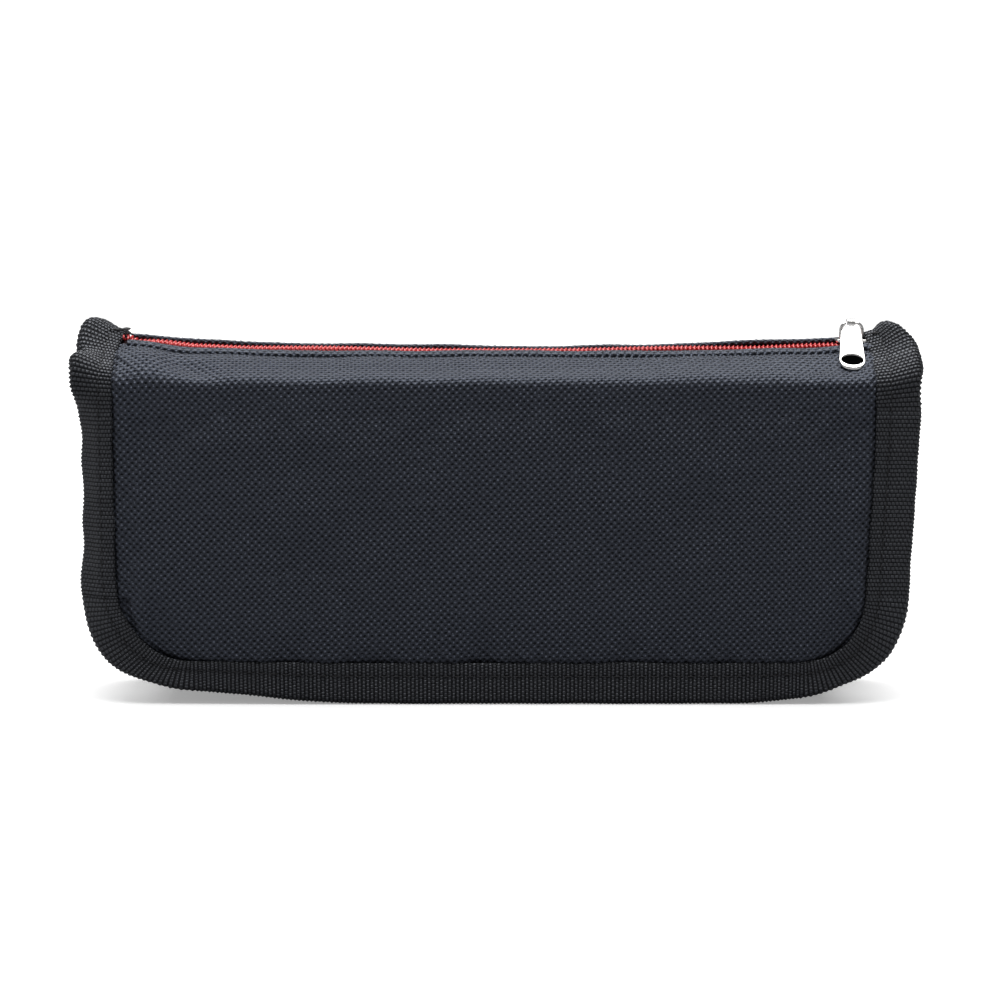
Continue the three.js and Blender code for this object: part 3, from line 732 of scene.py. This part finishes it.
def gusset_shell(name, inset, half_width, thickness, top, sag, step, gable=False):
    """A strip down a side, along the bottom and up the other side, bowed inwards between its seams."""
    x, z, out_x, out_z = u_frames(inset, top, step, 2)
    along = np.concatenate([[0], np.cumsum(np.hypot(np.diff(x), np.diff(z)))])
    half = np.full_like(z, half_width)
    if gable:
        under_roof = np.maximum(FACE_Y + 1.5 - (z - SHOULDER_Z + 2) / math.tan(HEM_SLOPE), 1.2)
        half = np.where(z > SHOULDER_Z - 2, np.minimum(half_width, under_roof), half)
    y_share = np.linspace(-1, 1, int(2 * half_width / step) + 1)
    y = half[:, None] * y_share[None]
    bow = sag * (1 - y_share[None] ** 2) * (1 + wobble(along[:, None], 51, (67, 43, 29), 0.35))
    weave = 0.07 * np.cos(math.pi * along[:, None] / YARN) * np.cos(math.pi * y / YARN)

    def skin(depth):
        skin_x, skin_z = x[:, None] - out_x[:, None] * depth, z[:, None] - out_z[:, None] * depth
        return np.stack([skin_x, y, skin_z], axis=-1)

    coarser = 2 if len(y_share) % 2 else 1  # the inner skin needs fewer points
    inner = skin(bow - weave + thickness)[:, ::coarser]
    rings = np.concatenate([skin(bow - weave), inner[:, ::-1]], axis=1)
    across = np.concatenate([y, y[:, ::coarser][:, ::-1]], axis=1)
    return add_rings(name, rings, along[:, None], across)


def padded_plate(name, y_outer, y_inner, beyond, top, puff, step, seed):
    """A soft plate with the panel's outline: it is full in the middle and thins towards its edge."""
    radius = CORNER_R + beyond
    centre_x, centre_z = SEAM_X - CORNER_R, FLANGE + CORNER_R
    half = SEAM_X + beyond
    low = FLANGE - beyond
    xs = np.linspace(-half, half, int(2 * half / step) + 1)
    zs = np.linspace(low, top, int((top - low) / step) + 1)
    x, z = np.meshgrid(xs, zs)
    dx, dz = np.abs(x) - centre_x, centre_z - z
    corner = (dx > 0) & (dz > 0)
    square = np.maximum(np.maximum(dx, dz), 1e-9)
    scale = np.where(corner, square / np.maximum(np.hypot(dx, dz), 1e-9), 1)
    x = np.where(corner, np.sign(x) * (centre_x + dx * scale), x)
    z = np.where(corner, centre_z - dz * scale, z)
    edge = np.minimum(np.minimum(half - np.abs(x), z - low), top - z)
    edge = np.where(corner, np.minimum(edge, radius - square), edge)
    inward = np.clip(edge / 2.2, 0, 1)
    swell = (y_inner - y_outer) / 2 * (0.25 + 0.75 * np.sqrt(inward * (2 - inward)))
    ripple = puff * wobble(x, seed, (59, 37, 23), 1) * wobble(z, seed + 1, (47, 31, 19), 1)
    middle = (y_outer + y_inner) / 2 + ripple
    front = np.stack([x, middle - swell, z], axis=-1)
    back = np.stack([x, middle + swell, z], axis=-1)
    rows, cols = x.shape
    quads = grid_quads(rows, cols)
    border = np.concatenate([
        np.arange(cols), np.arange(1, rows) * cols + cols - 1,
        (rows - 1) * cols + np.arange(cols - 2, -1, -1), np.arange(rows - 2, 0, -1) * cols,
    ])
    after = np.roll(border, -1)
    offset = rows * cols
    rim = np.stack([border, border + offset, after + offset, after], axis=1)
    faces = np.concatenate([quads, quads[:, ::-1] + offset, rim]).tolist()
    points = np.concatenate([front.reshape(-1, 3), back.reshape(-1, 3)])
    attributes = {"fabric_u": np.tile(x.ravel(), 2), "fabric_v": np.tile(z.ravel(), 2)}
    return add_mesh(name, points, faces, attributes)


def roof_lining(name, side):
    """Glass cloth under a roof half, from inside the shoulder to beside the zip."""
    step = 0.8
    low, high = node_box("front_flap_liner")
    x = np.arange(-SEAM_X + 4, SEAM_X - 4 + step, step)
    y = np.linspace(low[1], high[1], 18)
    slope = (high[2] - low[2] - 0.8) / (high[1] - low[1])
    to_zip = smooth(y, low[1], high[1])[None]
    lift = 0.7 * (hem_z(x, side) - HEM_MID_Z)[:, None] - 0.7
    ripple = 0.12 * wobble(x, 61, (23, 13, 7), 1)[:, None]
    z = high[2] - 0.2 + slope * (y - high[1])[None] + lift * to_zip + ripple
    upper = np.stack(np.broadcast_arrays(x[:, None], y[None], z), axis=-1)
    return cloth_strip(name, side, upper, 0.7, x, y)


# ---------------------------------------------------------------- slider and pull tab


def stamped(name, outlines, thickness, bevel, turn, place):
    """A stamped plate: closed smooth outlines (the first is the rim, others are holes) with rounded edges."""
    curve = bpy.data.curves.new(name, "CURVE")
    curve.dimensions = "2D"
    curve.fill_mode = "BOTH"
    curve.extrude = (thickness / 2 - bevel) * MM
    curve.bevel_depth = bevel * MM
    curve.bevel_resolution = 3
    for outline in outlines:
        path = curve.splines.new("POLY")
        path.points.add(len(outline) - 1)
        for point, (a, b) in zip(path.points, outline):
            point.co = (a * MM, b * MM, 0, 1)
        path.use_cyclic_u = True
    made = bpy.data.objects.new(name, curve)
    bpy.context.scene.collection.objects.link(made)
    made.data.transform(Matrix.Translation(place * MM) @ turn.to_4x4())
    bpy.context.view_layer.update()
    shape = bpy.data.meshes.new_from_object(made.evaluated_get(bpy.context.evaluated_depsgraph_get()))
    bpy.data.objects.remove(made)
    return shape


def as_shape(mesh):
    """A Blender mesh as (points, faces)."""
    return np.array([v.co for v in mesh.vertices]) / MM, [list(p.vertices) for p in mesh.polygons]


def joined_object(name, meshes, shapes, hole_shade_meshes=()):
    """One object out of Blender meshes and (points, faces) shapes; some of the meshes may be near-black discs
    of painted shade.
    """
    metal = [as_shape(mesh) for mesh in meshes] + shapes
    dark = [as_shape(mesh) for mesh in hole_shade_meshes]
    points, faces = many(metal + dark)
    hole_shade = np.arange(len(points)) >= sum(len(shape[0]) for shape in metal)
    return add_mesh(name, points, faces, {"hole_shade": hole_shade})


def rounded_outline(corners, radii, steps=7):
    """A closed outline with round corners."""
    points = []
    count = len(corners)
    for k in range(count):
        here = np.array(corners[k], float)
        before = unit(np.array(corners[k - 1], float) - here)
        after = unit(np.array(corners[(k + 1) % count], float) - here)
        half = 0.5 * math.acos(float(np.clip(before @ after, -1, 1)))
        cut = radii[k] / math.tan(half)
        centre = here + unit(before + after) * radii[k] / math.sin(half)
        start, end = here + before * cut - centre, here + after * cut - centre
        a0, a1 = math.atan2(start[1], start[0]), math.atan2(end[1], end[0])
        sweep = (a1 - a0 + math.pi) % (2 * math.pi) - math.pi
        for i in range(steps + 1):
            a = a0 + sweep * i / steps
            points.append(tuple(centre + radii[k] * np.array([math.cos(a), math.sin(a)])))
    return points


def slider_body(name):
    """Two stamped plates with turned-in flanges and a wedge post between them."""
    low, high = node_box("slider_body")
    half_x, half_y = (high[0] - low[0]) / 2, (high[1] - low[1]) / 2
    outline = rounded_outline(
        [(-half_x, -half_y + 1.3), (half_x - 1, -half_y), (half_x, -half_y + 1.4),
         (half_x, half_y - 1.4), (half_x - 1, half_y), (-half_x, half_y - 1.3)],
        [1.2, 0.8, 0.6, 0.6, 0.8, 1.2],
    )
    flat = Matrix.Identity(3)
    thick = 1.0
    upper = stamped("upper", [outline], thick, 0.28, flat, Vector((SLIDER_X, 0, high[2] - thick / 2)))
    under = stamped("under", [outline], thick, 0.28, flat, Vector((SLIDER_X, 0, low[2] + thick / 2)))
    shapes = []
    for edge in (-1, 1):
        y = edge * (half_y - 0.75)
        path = [(SLIDER_X - half_x + 1.6, y, high[2] - 0.9), (SLIDER_X + half_x - 0.9, y, high[2] - 0.9)]
        shapes.append(tube(resample(np.array(path), 0.5), 0.45, 10))
    post = [(SLIDER_X + 2.6, 0, low[2] + 0.5), (SLIDER_X + 2.6, 0, high[2] - 0.4)]
    shapes.append(tube(resample(np.array(post), 0.4), 0.38, 10))
    return joined_object(name, [upper, under], shapes)


def slider_bridge(name):
    """The bail: a bent strap that both stands on the top plate and holds the tab's eye."""
    low, high = node_box("slider_bridge")
    z = PIVOT[2]
    half = (high[0] - low[0]) / 2 - 0.6
    leg = [(half, low[2] - 0.5), (half, low[2] + 1.6), (half - 0.35, z - 0.9), (half - 1.4, z - 0.05)]
    knots = [(SLIDER_X - x, 0, level) for x, level in leg] + [(SLIDER_X, 0, z + 0.02)]
    knots += [(SLIDER_X + x, 0, level) for x, level in leg[::-1]]
    path = spline(np.array(knots, float), 0.22)
    along = tangents(path)
    broad = np.array([0.0, 1.0, 0.0])
    thin = unit(np.cross(along, broad))
    angles = np.linspace(0, 2 * math.pi, 20, endpoint=False)
    wide = 0.5 + 0.4 * smooth(np.abs(path[:, 2] - z), 1.2, 4.0)
    cos, sin = [np.sign(wave) * np.abs(wave) ** 0.75 for wave in (np.cos(angles), np.sin(angles))]
    ring = (path[:, None] + wide[:, None, None] * cos[None, :, None] * broad
            + 0.45 * sin[None, :, None] * thin[:, None])
    return add_mesh(name, ring.reshape(-1, 3), ring_faces(*ring.shape[:2]))


def pull_tab(name):
    """Tapered cast plate with a rounded end, a raised rim round an oval hole, and a rolled eye; a near-black
    disc in the hole is painted shade.
    """
    droop = math.radians(40)
    length = 18.3
    end_half, top_half, eye_half = 3.65, 2.7, 1.2
    rim = rounded_outline(
        [(-eye_half, -0.6), (-eye_half, -2.2), (-top_half, -3.9), (-end_half, -length),
         (end_half, -length), (top_half, -3.9), (eye_half, -2.2), (eye_half, -0.6)],
        [0.3, 0.6, 0.8, 3.0, 3.0, 0.8, 0.6, 0.3],
    )
    angles = np.linspace(0, 2 * math.pi, 40, endpoint=False)
    hole = [(3.35 * math.cos(a), -length + 3.1 + 2.4 * math.sin(a)) for a in angles]
    turn = Matrix.Rotation(droop, 3, "X") @ Matrix.Rotation(math.radians(-3.5), 3, "Z")
    place = Vector(PIVOT) - Vector((0.3, 0, 0))
    plate = stamped("plate", [rim, hole], 0.95, 0.25, turn, place)
    # a near-black disc filling the hole is painted shade: it stands in for the shaded fabric seen through the
    # hole
    floor = [(1.06 * a, b + 0.06 * (b + length - 3.1)) for a, b in hole]
    hole_shade_disc = stamped("hole_shade_disc", [floor], 0.3, 0.05, turn, place)
    turned = np.array(turn)
    eye_angles = np.linspace(0, 2 * math.pi, 36, endpoint=False)
    section = rounded_outline([(0.7, -eye_half), (1.35, -eye_half), (1.35, eye_half), (0.7, eye_half)],
                              [0.12, 0.25, 0.25, 0.12], 4)
    eye = [[(x, r * math.cos(a), r * math.sin(a)) for r, x in section] for a in eye_angles]
    eye_points = np.array(eye).reshape(-1, 3) @ turned.T + np.array(place)
    eye_faces = [list(q) for q in grid_quads(len(eye_angles), len(section), True, True)]
    return joined_object(name, [plate], [(eye_points, eye_faces)], [hole_shade_disc])


# ---------------------------------------------------------------- materials


class Signal:
    """A shader value that can be written into formulas."""

    def __init__(self, look, socket):
        self.look = look
        self.socket = socket

    def __add__(self, other):
        return self.look.math("ADD", self, other)

    def __sub__(self, other):
        return self.look.math("SUBTRACT", self, other)

    def __mul__(self, other):
        return self.look.math("MULTIPLY", self, other)

    def __rsub__(self, other):
        return self.look.math("SUBTRACT", other, self)

    __radd__ = __add__
    __rmul__ = __mul__


class Look:
    """A node material under construction."""

    def __init__(self, name):
        self.name = name
        self.material = bpy.data.materials.new(name)
        self.material.use_nodes = True
        self.nodes = self.material.node_tree.nodes
        self.links = self.material.node_tree.links
        self.shader = self.nodes["Principled BSDF"]

    def plug(self, value, socket):
        if isinstance(value, Signal):
            self.links.new(value.socket, socket)
        else:
            socket.default_value = value

    def math(self, operation, *values):
        node = self.nodes.new("ShaderNodeMath")
        node.operation = operation
        for value, socket in zip(values, node.inputs):
            self.plug(value, socket)
        return Signal(self, node.outputs[0])

    def wave(self, value, pitch, shift=0.0):
        """A cosine along a coordinate in millimetres."""
        return self.math("COSINE", value * (2 * math.pi / pitch) + shift)

    def attribute(self, name):
        node = self.nodes.new("ShaderNodeAttribute")
        node.attribute_name = name
        return Signal(self, node.outputs["Fac"])

    def place(self):
        node = self.nodes.new("ShaderNodeTexCoord")
        return Signal(self, node.outputs["Object"])

    def noise(self, size, detail=2.0, stretch=(1, 1, 1)):
        """Noise whose features are about `size` millimetres across."""
        mapping = self.nodes.new("ShaderNodeMapping")
        mapping.inputs["Scale"].default_value = [k / (size * MM) for k in stretch]
        self.links.new(self.place().socket, mapping.inputs["Vector"])
        node = self.nodes.new("ShaderNodeTexNoise")
        node.inputs["Scale"].default_value = 1.0
        node.inputs["Detail"].default_value = detail
        self.links.new(mapping.outputs[0], node.inputs["Vector"])
        return Signal(self, node.outputs[0])

    def ramp(self, value, low, high):
        """0 below low and 1 above high."""
        node = self.nodes.new("ShaderNodeMapRange")
        node.interpolation_type = "SMOOTHSTEP"
        self.plug(value, node.inputs["Value"])
        node.inputs["From Min"].default_value = low
        node.inputs["From Max"].default_value = high
        return Signal(self, node.outputs[0])

    def blend(self, share, first, second):
        """A colour between two colours."""
        node = self.nodes.new("ShaderNodeMix")
        node.data_type = "RGBA"
        self.plug(share, node.inputs[0])
        for value, socket in zip((first, second), (node.inputs[6], node.inputs[7])):
            self.plug(value if isinstance(value, Signal) else (*value, 1.0), socket)
        return Signal(self, node.outputs[2])

    def bump(self, height, depth):
        """Surface relief: height 0 to 1 is `depth` millimetres."""
        node = self.nodes.new("ShaderNodeBump")
        node.inputs["Distance"].default_value = depth * MM
        self.plug(height, node.inputs["Height"])
        self.links.new(node.outputs[0], self.shader.inputs["Normal"])

    def set(self, **values):
        names = {
            "colour": "Base Color",
            "roughness": "Roughness",
            "metallic": "Metallic",
            "coat": "Coat Weight",
            "coat_roughness": "Coat Roughness",
            "specular": "Specular IOR Level",
            "specular_tint": "Specular Tint",
        }
        for key, value in values.items():
            plain = isinstance(value, (Signal, float, int))
            self.plug(value if plain else (*value, 1.0), self.shader.inputs[names[key]])


def plain_weave(look, u, v, pitch):
    """A plain weave's pits (0 in a pit, 1 on the threads) and nubs (1 on the crown of a thread)."""
    weft = look.wave(v, 2 * pitch)
    cross = look.wave(u, 2 * pitch) * weft
    pits = look.ramp(cross * look.math("ABSOLUTE", weft), -0.72, -0.12)
    nubs = look.ramp(cross, 0.15, 1.0)
    return pits, nubs


def outer_fabric_look():
    look = Look("outer_fabric")
    u, v = look.attribute("fabric_u"), look.attribute("fabric_v")
    fibre = look.noise(0.28, 3.0, (0.45, 1, 1))
    pits, nubs = plain_weave(look, u, v, YARN)
    # how open each pit is: it sets the pit's depth in the bump and how dark its painted shade is
    open_pit = (1.0 - pits) * look.ramp(look.noise(1.3, 2.0), 0.05, 0.6)
    height = (1.0 - open_pit) * 0.62 + nubs * 0.38 + fibre * 0.25
    # painted shade and painted highlight: colour and specular level are darkened in the open pits and
    # lightened on the thread crowns
    shade = (1.0 - open_pit) * (0.35 + 0.45 * nubs + 0.5 * fibre)
    colour = look.blend(shade, (0.0075, 0.0077, 0.0086), (0.0205, 0.0207, 0.0240))
    worn = look.blend(look.ramp(look.noise(38, 3.0), 0.35, 0.75) * 0.1, colour, (0.015, 0.016, 0.019))
    look.set(colour=worn, roughness=0.42 - 0.08 * nubs)
    look.set(specular=0.16 + 0.85 * shade, specular_tint=(0.66, 0.76, 1.0))
    look.bump(height, 0.62)
    return look


def binding_tape_look():
    look = Look("binding_tape")
    s, t = look.attribute("tape_s"), look.attribute("tape_t")
    number = look.math("FLOOR", s * (1 / RIB) + 0.5)
    rib = look.ramp(look.wave(s, RIB), -1.0, 0.2)
    brick = t * (math.pi / BEAD) + number * (0.5 * math.pi) + look.noise(1.7) * 1.5
    yarn = look.ramp(look.math("ABSOLUTE", look.math("SINE", brick)), 0.0, 0.8)
    fibre = look.noise(0.22, 3.0)
    height = (0.15 + 0.85 * rib) * (0.15 + 0.85 * yarn) * 0.8 + fibre * 0.3
    # painted shade and painted highlight: colour and specular level follow the relief, dark in the gaps
    # between ribs and yarns, light on their tops
    shade = look.ramp(height, 0.1, 1.0)
    colour = look.blend(shade, (0.0042, 0.0042, 0.0045), (0.0080, 0.0081, 0.0088))
    look.set(colour=colour, roughness=0.40, specular=0.20 + 0.8 * shade, specular_tint=(0.86, 0.90, 1.0))
    look.bump(height, 0.32)
    return look


def glass_cloth_look():
    look = Look("glass_cloth")
    u, v = look.attribute("fabric_u"), look.attribute("fabric_v")
    pits, nubs = plain_weave(look, u, v, 0.8)
    height = pits * 0.6 + nubs * 0.4 + look.noise(0.3, 2.0) * 0.2
    # painted shade and painted highlight: the colour is darker in the weave's pits and lighter on the thread
    # crowns
    colour = look.blend(look.ramp(height, 0.2, 0.9), (0.26, 0.27, 0.28), (0.62, 0.64, 0.65))
    look.set(colour=colour, roughness=0.42, metallic=0.15, specular=0.5)
    look.bump(height, 0.12)
    return look


def foam_look():
    look = Look("foam")
    cells = look.noise(0.9, 4.0)
    colour = look.blend(look.ramp(cells, 0.35, 0.65), (0.028, 0.029, 0.032), (0.060, 0.062, 0.066))
    look.set(colour=colour, roughness=0.95, specular=0.2)
    look.bump(cells, 0.3)
    return look


def zip_tape_look():
    look = Look("zip_tape")
    u, v = look.attribute("fabric_u"), look.attribute("fabric_v")
    height = look.math("ABSOLUTE", look.wave(u, 1.0)) * 0.5 + look.math("ABSOLUTE", look.wave(v, 1.2)) * 0.5
    # painted shade and painted highlight: the colour is darker in the weave's grooves and lighter on its
    # ridges
    colour = look.blend(look.ramp(height, 0.1, 0.8), (0.006, 0.003, 0.0035), (0.040, 0.012, 0.015))
    look.set(colour=colour, roughness=0.8, specular=0.3)
    look.bump(height + look.noise(0.2) * 0.3, 0.14)
    return look


def zip_coil_look():
    look = Look("zip_coil")
    colour = look.blend(look.ramp(look.noise(1.6, 2.0), 0.3, 0.7), (0.60, 0.022, 0.026), (0.82, 0.065, 0.062))
    look.set(colour=colour, roughness=0.30, specular=0.9, coat=0.5, coat_roughness=0.2)
    look.bump(look.noise(0.25, 2.0), 0.03)
    return look


def thread_look():
    look = Look("thread")
    twist = look.noise(0.18, 2.0, (1, 1, 0.4))
    colour = look.blend(twist, (0.004, 0.004, 0.005), (0.022, 0.022, 0.026))
    look.set(colour=colour, roughness=0.6, specular=0.4)
    look.bump(twist, 0.06)
    return look


def nickel_look():
    look = Look("nickel")
    scuffs = look.noise(0.7, 5.0, (1, 0.25, 1))
    colour = look.blend(look.ramp(scuffs, 0.3, 0.75), (0.80, 0.79, 0.77), (0.93, 0.92, 0.91))
    # the near-black, non-metal part in the pull tab's hole is painted shade
    hole_shade = look.attribute("hole_shade")
    look.set(colour=look.blend(hole_shade, colour, (0.0015, 0.0015, 0.0015)), metallic=1.0 - hole_shade,
             roughness=0.16 + 0.16 * look.ramp(scuffs, 0.45, 0.8) + 0.3 * hole_shade, specular=0.5 - 0.5 * hole_shade)
    look.bump(look.noise(2.2, 3.0), 0.05)
    return look


# ---------------------------------------------------------------- the bag, put together

fabric, tape_look, glass = outer_fabric_look(), binding_tape_look(), glass_cloth_look()
foam, tape_cloth, coil_look = foam_look(), zip_tape_look(), zip_coil_look()
thread, nickel = thread_look(), nickel_look()


def finish(piece, look, *nodes):
    """Gives a piece its material and hides the CAD nodes that it stands for."""
    piece.data.materials.clear()
    piece.data.materials.append(look.material)
    if nodes:
        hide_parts(*nodes)
    return piece


def bend_with_roof(piece, weights=None):
    """Bakes the piece's placement into its mesh and works out each point's share of the roof half's turn; the
    shares are not applied, so the piece does not bend.
    """
    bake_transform(piece)
    if weights is None:
        places = np.array([v.co for v in piece.data.vertices]) / MM
        weights = mouth(places[:, 0])


def make_half(half, side):
    sheet, weights = outer_sheet(half + "_panel_fabric", side)
    finish(sheet, fabric, half + "_cover", half + "_flap_cover")
    bend_with_roof(sheet, weights[USED[sheet.name]])
    end = "right" if side < 0 else "left"
    tape = binding_tape(half + "_binding_tape", side)
    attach(finish(tape, tape_look, half + "_binding", end + "_end_binding"), "bag")
    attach(finish(tape_stitches(half + "_binding_stitches", side), thread), "bag")
    for make, piece_name, look, nodes in (
        (hem_band, "_hem", fabric, ()),
        (hem_stitches, "_hem_stitches", thread, ()),
        (zip_coil, "_zip_teeth", coil_look, (half + "_zip_coil", end + "_zip_end")),
        (zip_tape, "_zip_cloth", tape_cloth, (half + "_zip_tape",)),
        (roof_lining, "_roof_lining", glass, (half + "_flap_liner",)),
    ):
        bend_with_roof(finish(make(half + piece_name, side), look, *nodes))
    for node, piece_name, look, puff, step, seed in (
        ("_foam_board", "_foam_pad", foam, 0.1, 1.5, 71),
        ("_liner", "_lining", glass, 0.15, 1.2, 73),
    ):
        low, high = node_box("front" + node)
        piece = padded_plate(half + piece_name, low[1], high[1], beyond=-1.5, top=high[2], puff=puff,
                             step=step, seed=seed)
        if side > 0:
            turn_over(piece)
        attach(finish(piece, look, half + node), "bag")


def turn_over(piece):
    """Mirrors a piece to the other side of the zip."""
    piece.data.transform(Matrix.Diagonal((1, -1, 1, 1)))
    piece.data.flip_normals()


make_half("front", -1)
make_half("back", 1)

cover, core, liner = [node_box("gusset_" + part)[1] for part in ("cover", "foam", "liner")]
for node, look, piece in (
    ("gusset_cover", fabric,
     gusset_shell("gusset_fabric", inset=0.0, half_width=FACE_Y - 1.6, thickness=0.9, top=cover[2] + 2.2,
                  sag=1.2, step=0.6, gable=True)),
    ("gusset_foam", foam,
     gusset_shell("gusset_foam_strip", inset=2.6, half_width=core[1] - 0.4, thickness=1.6, top=core[2],
                  sag=0.3, step=1.5)),
    ("gusset_liner", glass,
     gusset_shell("gusset_lining", inset=5.0, half_width=liner[1] - 0.2, thickness=0.6, top=liner[2],
                  sag=0.5, step=1.0)),
):
    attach(finish(piece, look, node), "bag")

for end, sign in (("right", 1), ("left", -1)):
    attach(finish(bartack(end + "_bartack_stitches", sign), thread, end + "_bartack"), "bag")

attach(finish(slider_body("zip_slider"), nickel, "slider_body"), "slider")
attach(finish(slider_bridge("slider_bail"), nickel, "slider_bridge"), "slider")
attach(finish(pull_tab("zip_pull"), nickel, "pull_tab"), "tab")


# ---------------------------------------------------------------- floor, light and camera


def soft_light(name, place, size, power, aim):
    data = bpy.data.lights.new(name, "AREA")
    data.shape = "RECTANGLE"
    data.size, data.size_y = size
    data.energy = power
    light = bpy.data.objects.new(name, data)
    light.location = place
    light.rotation_euler = (Vector(aim) - Vector(place)).to_track_quat("-Z", "Y").to_euler()
    bpy.context.scene.collection.objects.link(light)


def studio():
    reach = 1300
    corners = [(reach * a, reach * b, 0) for a, b in ((-1, -1), (1, -1), (1, 1), (-1, 1))]
    floor = add_mesh("floor", corners, [[0, 1, 2, 3]], settle=False)
    paper = Look("paper")
    shade = paper.ramp(paper.noise(40, 3.0), 0.3, 0.7)
    seen = Signal(paper, paper.nodes.new("ShaderNodeLightPath").outputs["Is Camera Ray"])
    white = paper.blend(shade, (0.90, 0.90, 0.90), (0.93, 0.93, 0.93))
    paper.set(colour=paper.blend(seen, (0.36, 0.36, 0.37), white), roughness=0.9, specular=0.1)
    paper.plug((1, 1, 1, 1), paper.shader.inputs["Emission Color"])
    paper.plug(seen * 0.3, paper.shader.inputs["Emission Strength"])
    floor.data.materials.append(paper.material)
    world = bpy.data.worlds.new("studio")
    bpy.context.scene.world = world
    world.use_nodes = True
    nodes, links = world.node_tree.nodes, world.node_tree.links
    seen = nodes["Background"]
    lit = nodes.new("ShaderNodeBackground")
    for background, strength in ((seen, 1.1), (lit, 0.21)):
        background.inputs["Color"].default_value = (1, 1, 1, 1)
        background.inputs["Strength"].default_value = strength
    rays = nodes.new("ShaderNodeLightPath")
    mix = nodes.new("ShaderNodeMixShader")
    links.new(rays.outputs["Is Camera Ray"], mix.inputs[0])
    links.new(lit.outputs[0], mix.inputs[1])
    links.new(seen.outputs[0], mix.inputs[2])
    links.new(mix.outputs[0], nodes["World Output"].inputs["Surface"])
    soft_light("overhead", (0, 0.3, 2.0), (2.4, 2.4), 84, (0, 0.3, 0))
    soft_light("left_fill", (-1.6, -0.5, 0.5), (0.8, 0.8), 2.2, (0, 0, 0.05))


def camera():
    """A long lens from the front, a little above the bag."""
    data = bpy.data.cameras.new("camera")
    made = bpy.data.objects.new("camera", data)
    bpy.context.scene.collection.objects.link(made)
    bpy.context.scene.camera = made
    width = cad_box[1][0] - cad_box[0][0]
    middle = (cad_box[0][2] + cad_box[1][2]) / 2
    tilt = math.radians(8.7)
    aim = Vector((0, -FACE_Y * MM, middle + 4.5 * MM))
    distance = 2.921 * width  # the bag fills the picture as it does in the photo
    made.location = aim + distance * Vector((0, -math.cos(tilt), math.sin(tilt)))
    made.rotation_euler = (math.pi / 2 - tilt, 0, 0)
    data.sensor_width = 36
    data.lens = 88
    data.clip_start = 0.05


studio()
camera()
bpy.context.scene.view_settings.view_transform = "Standard"
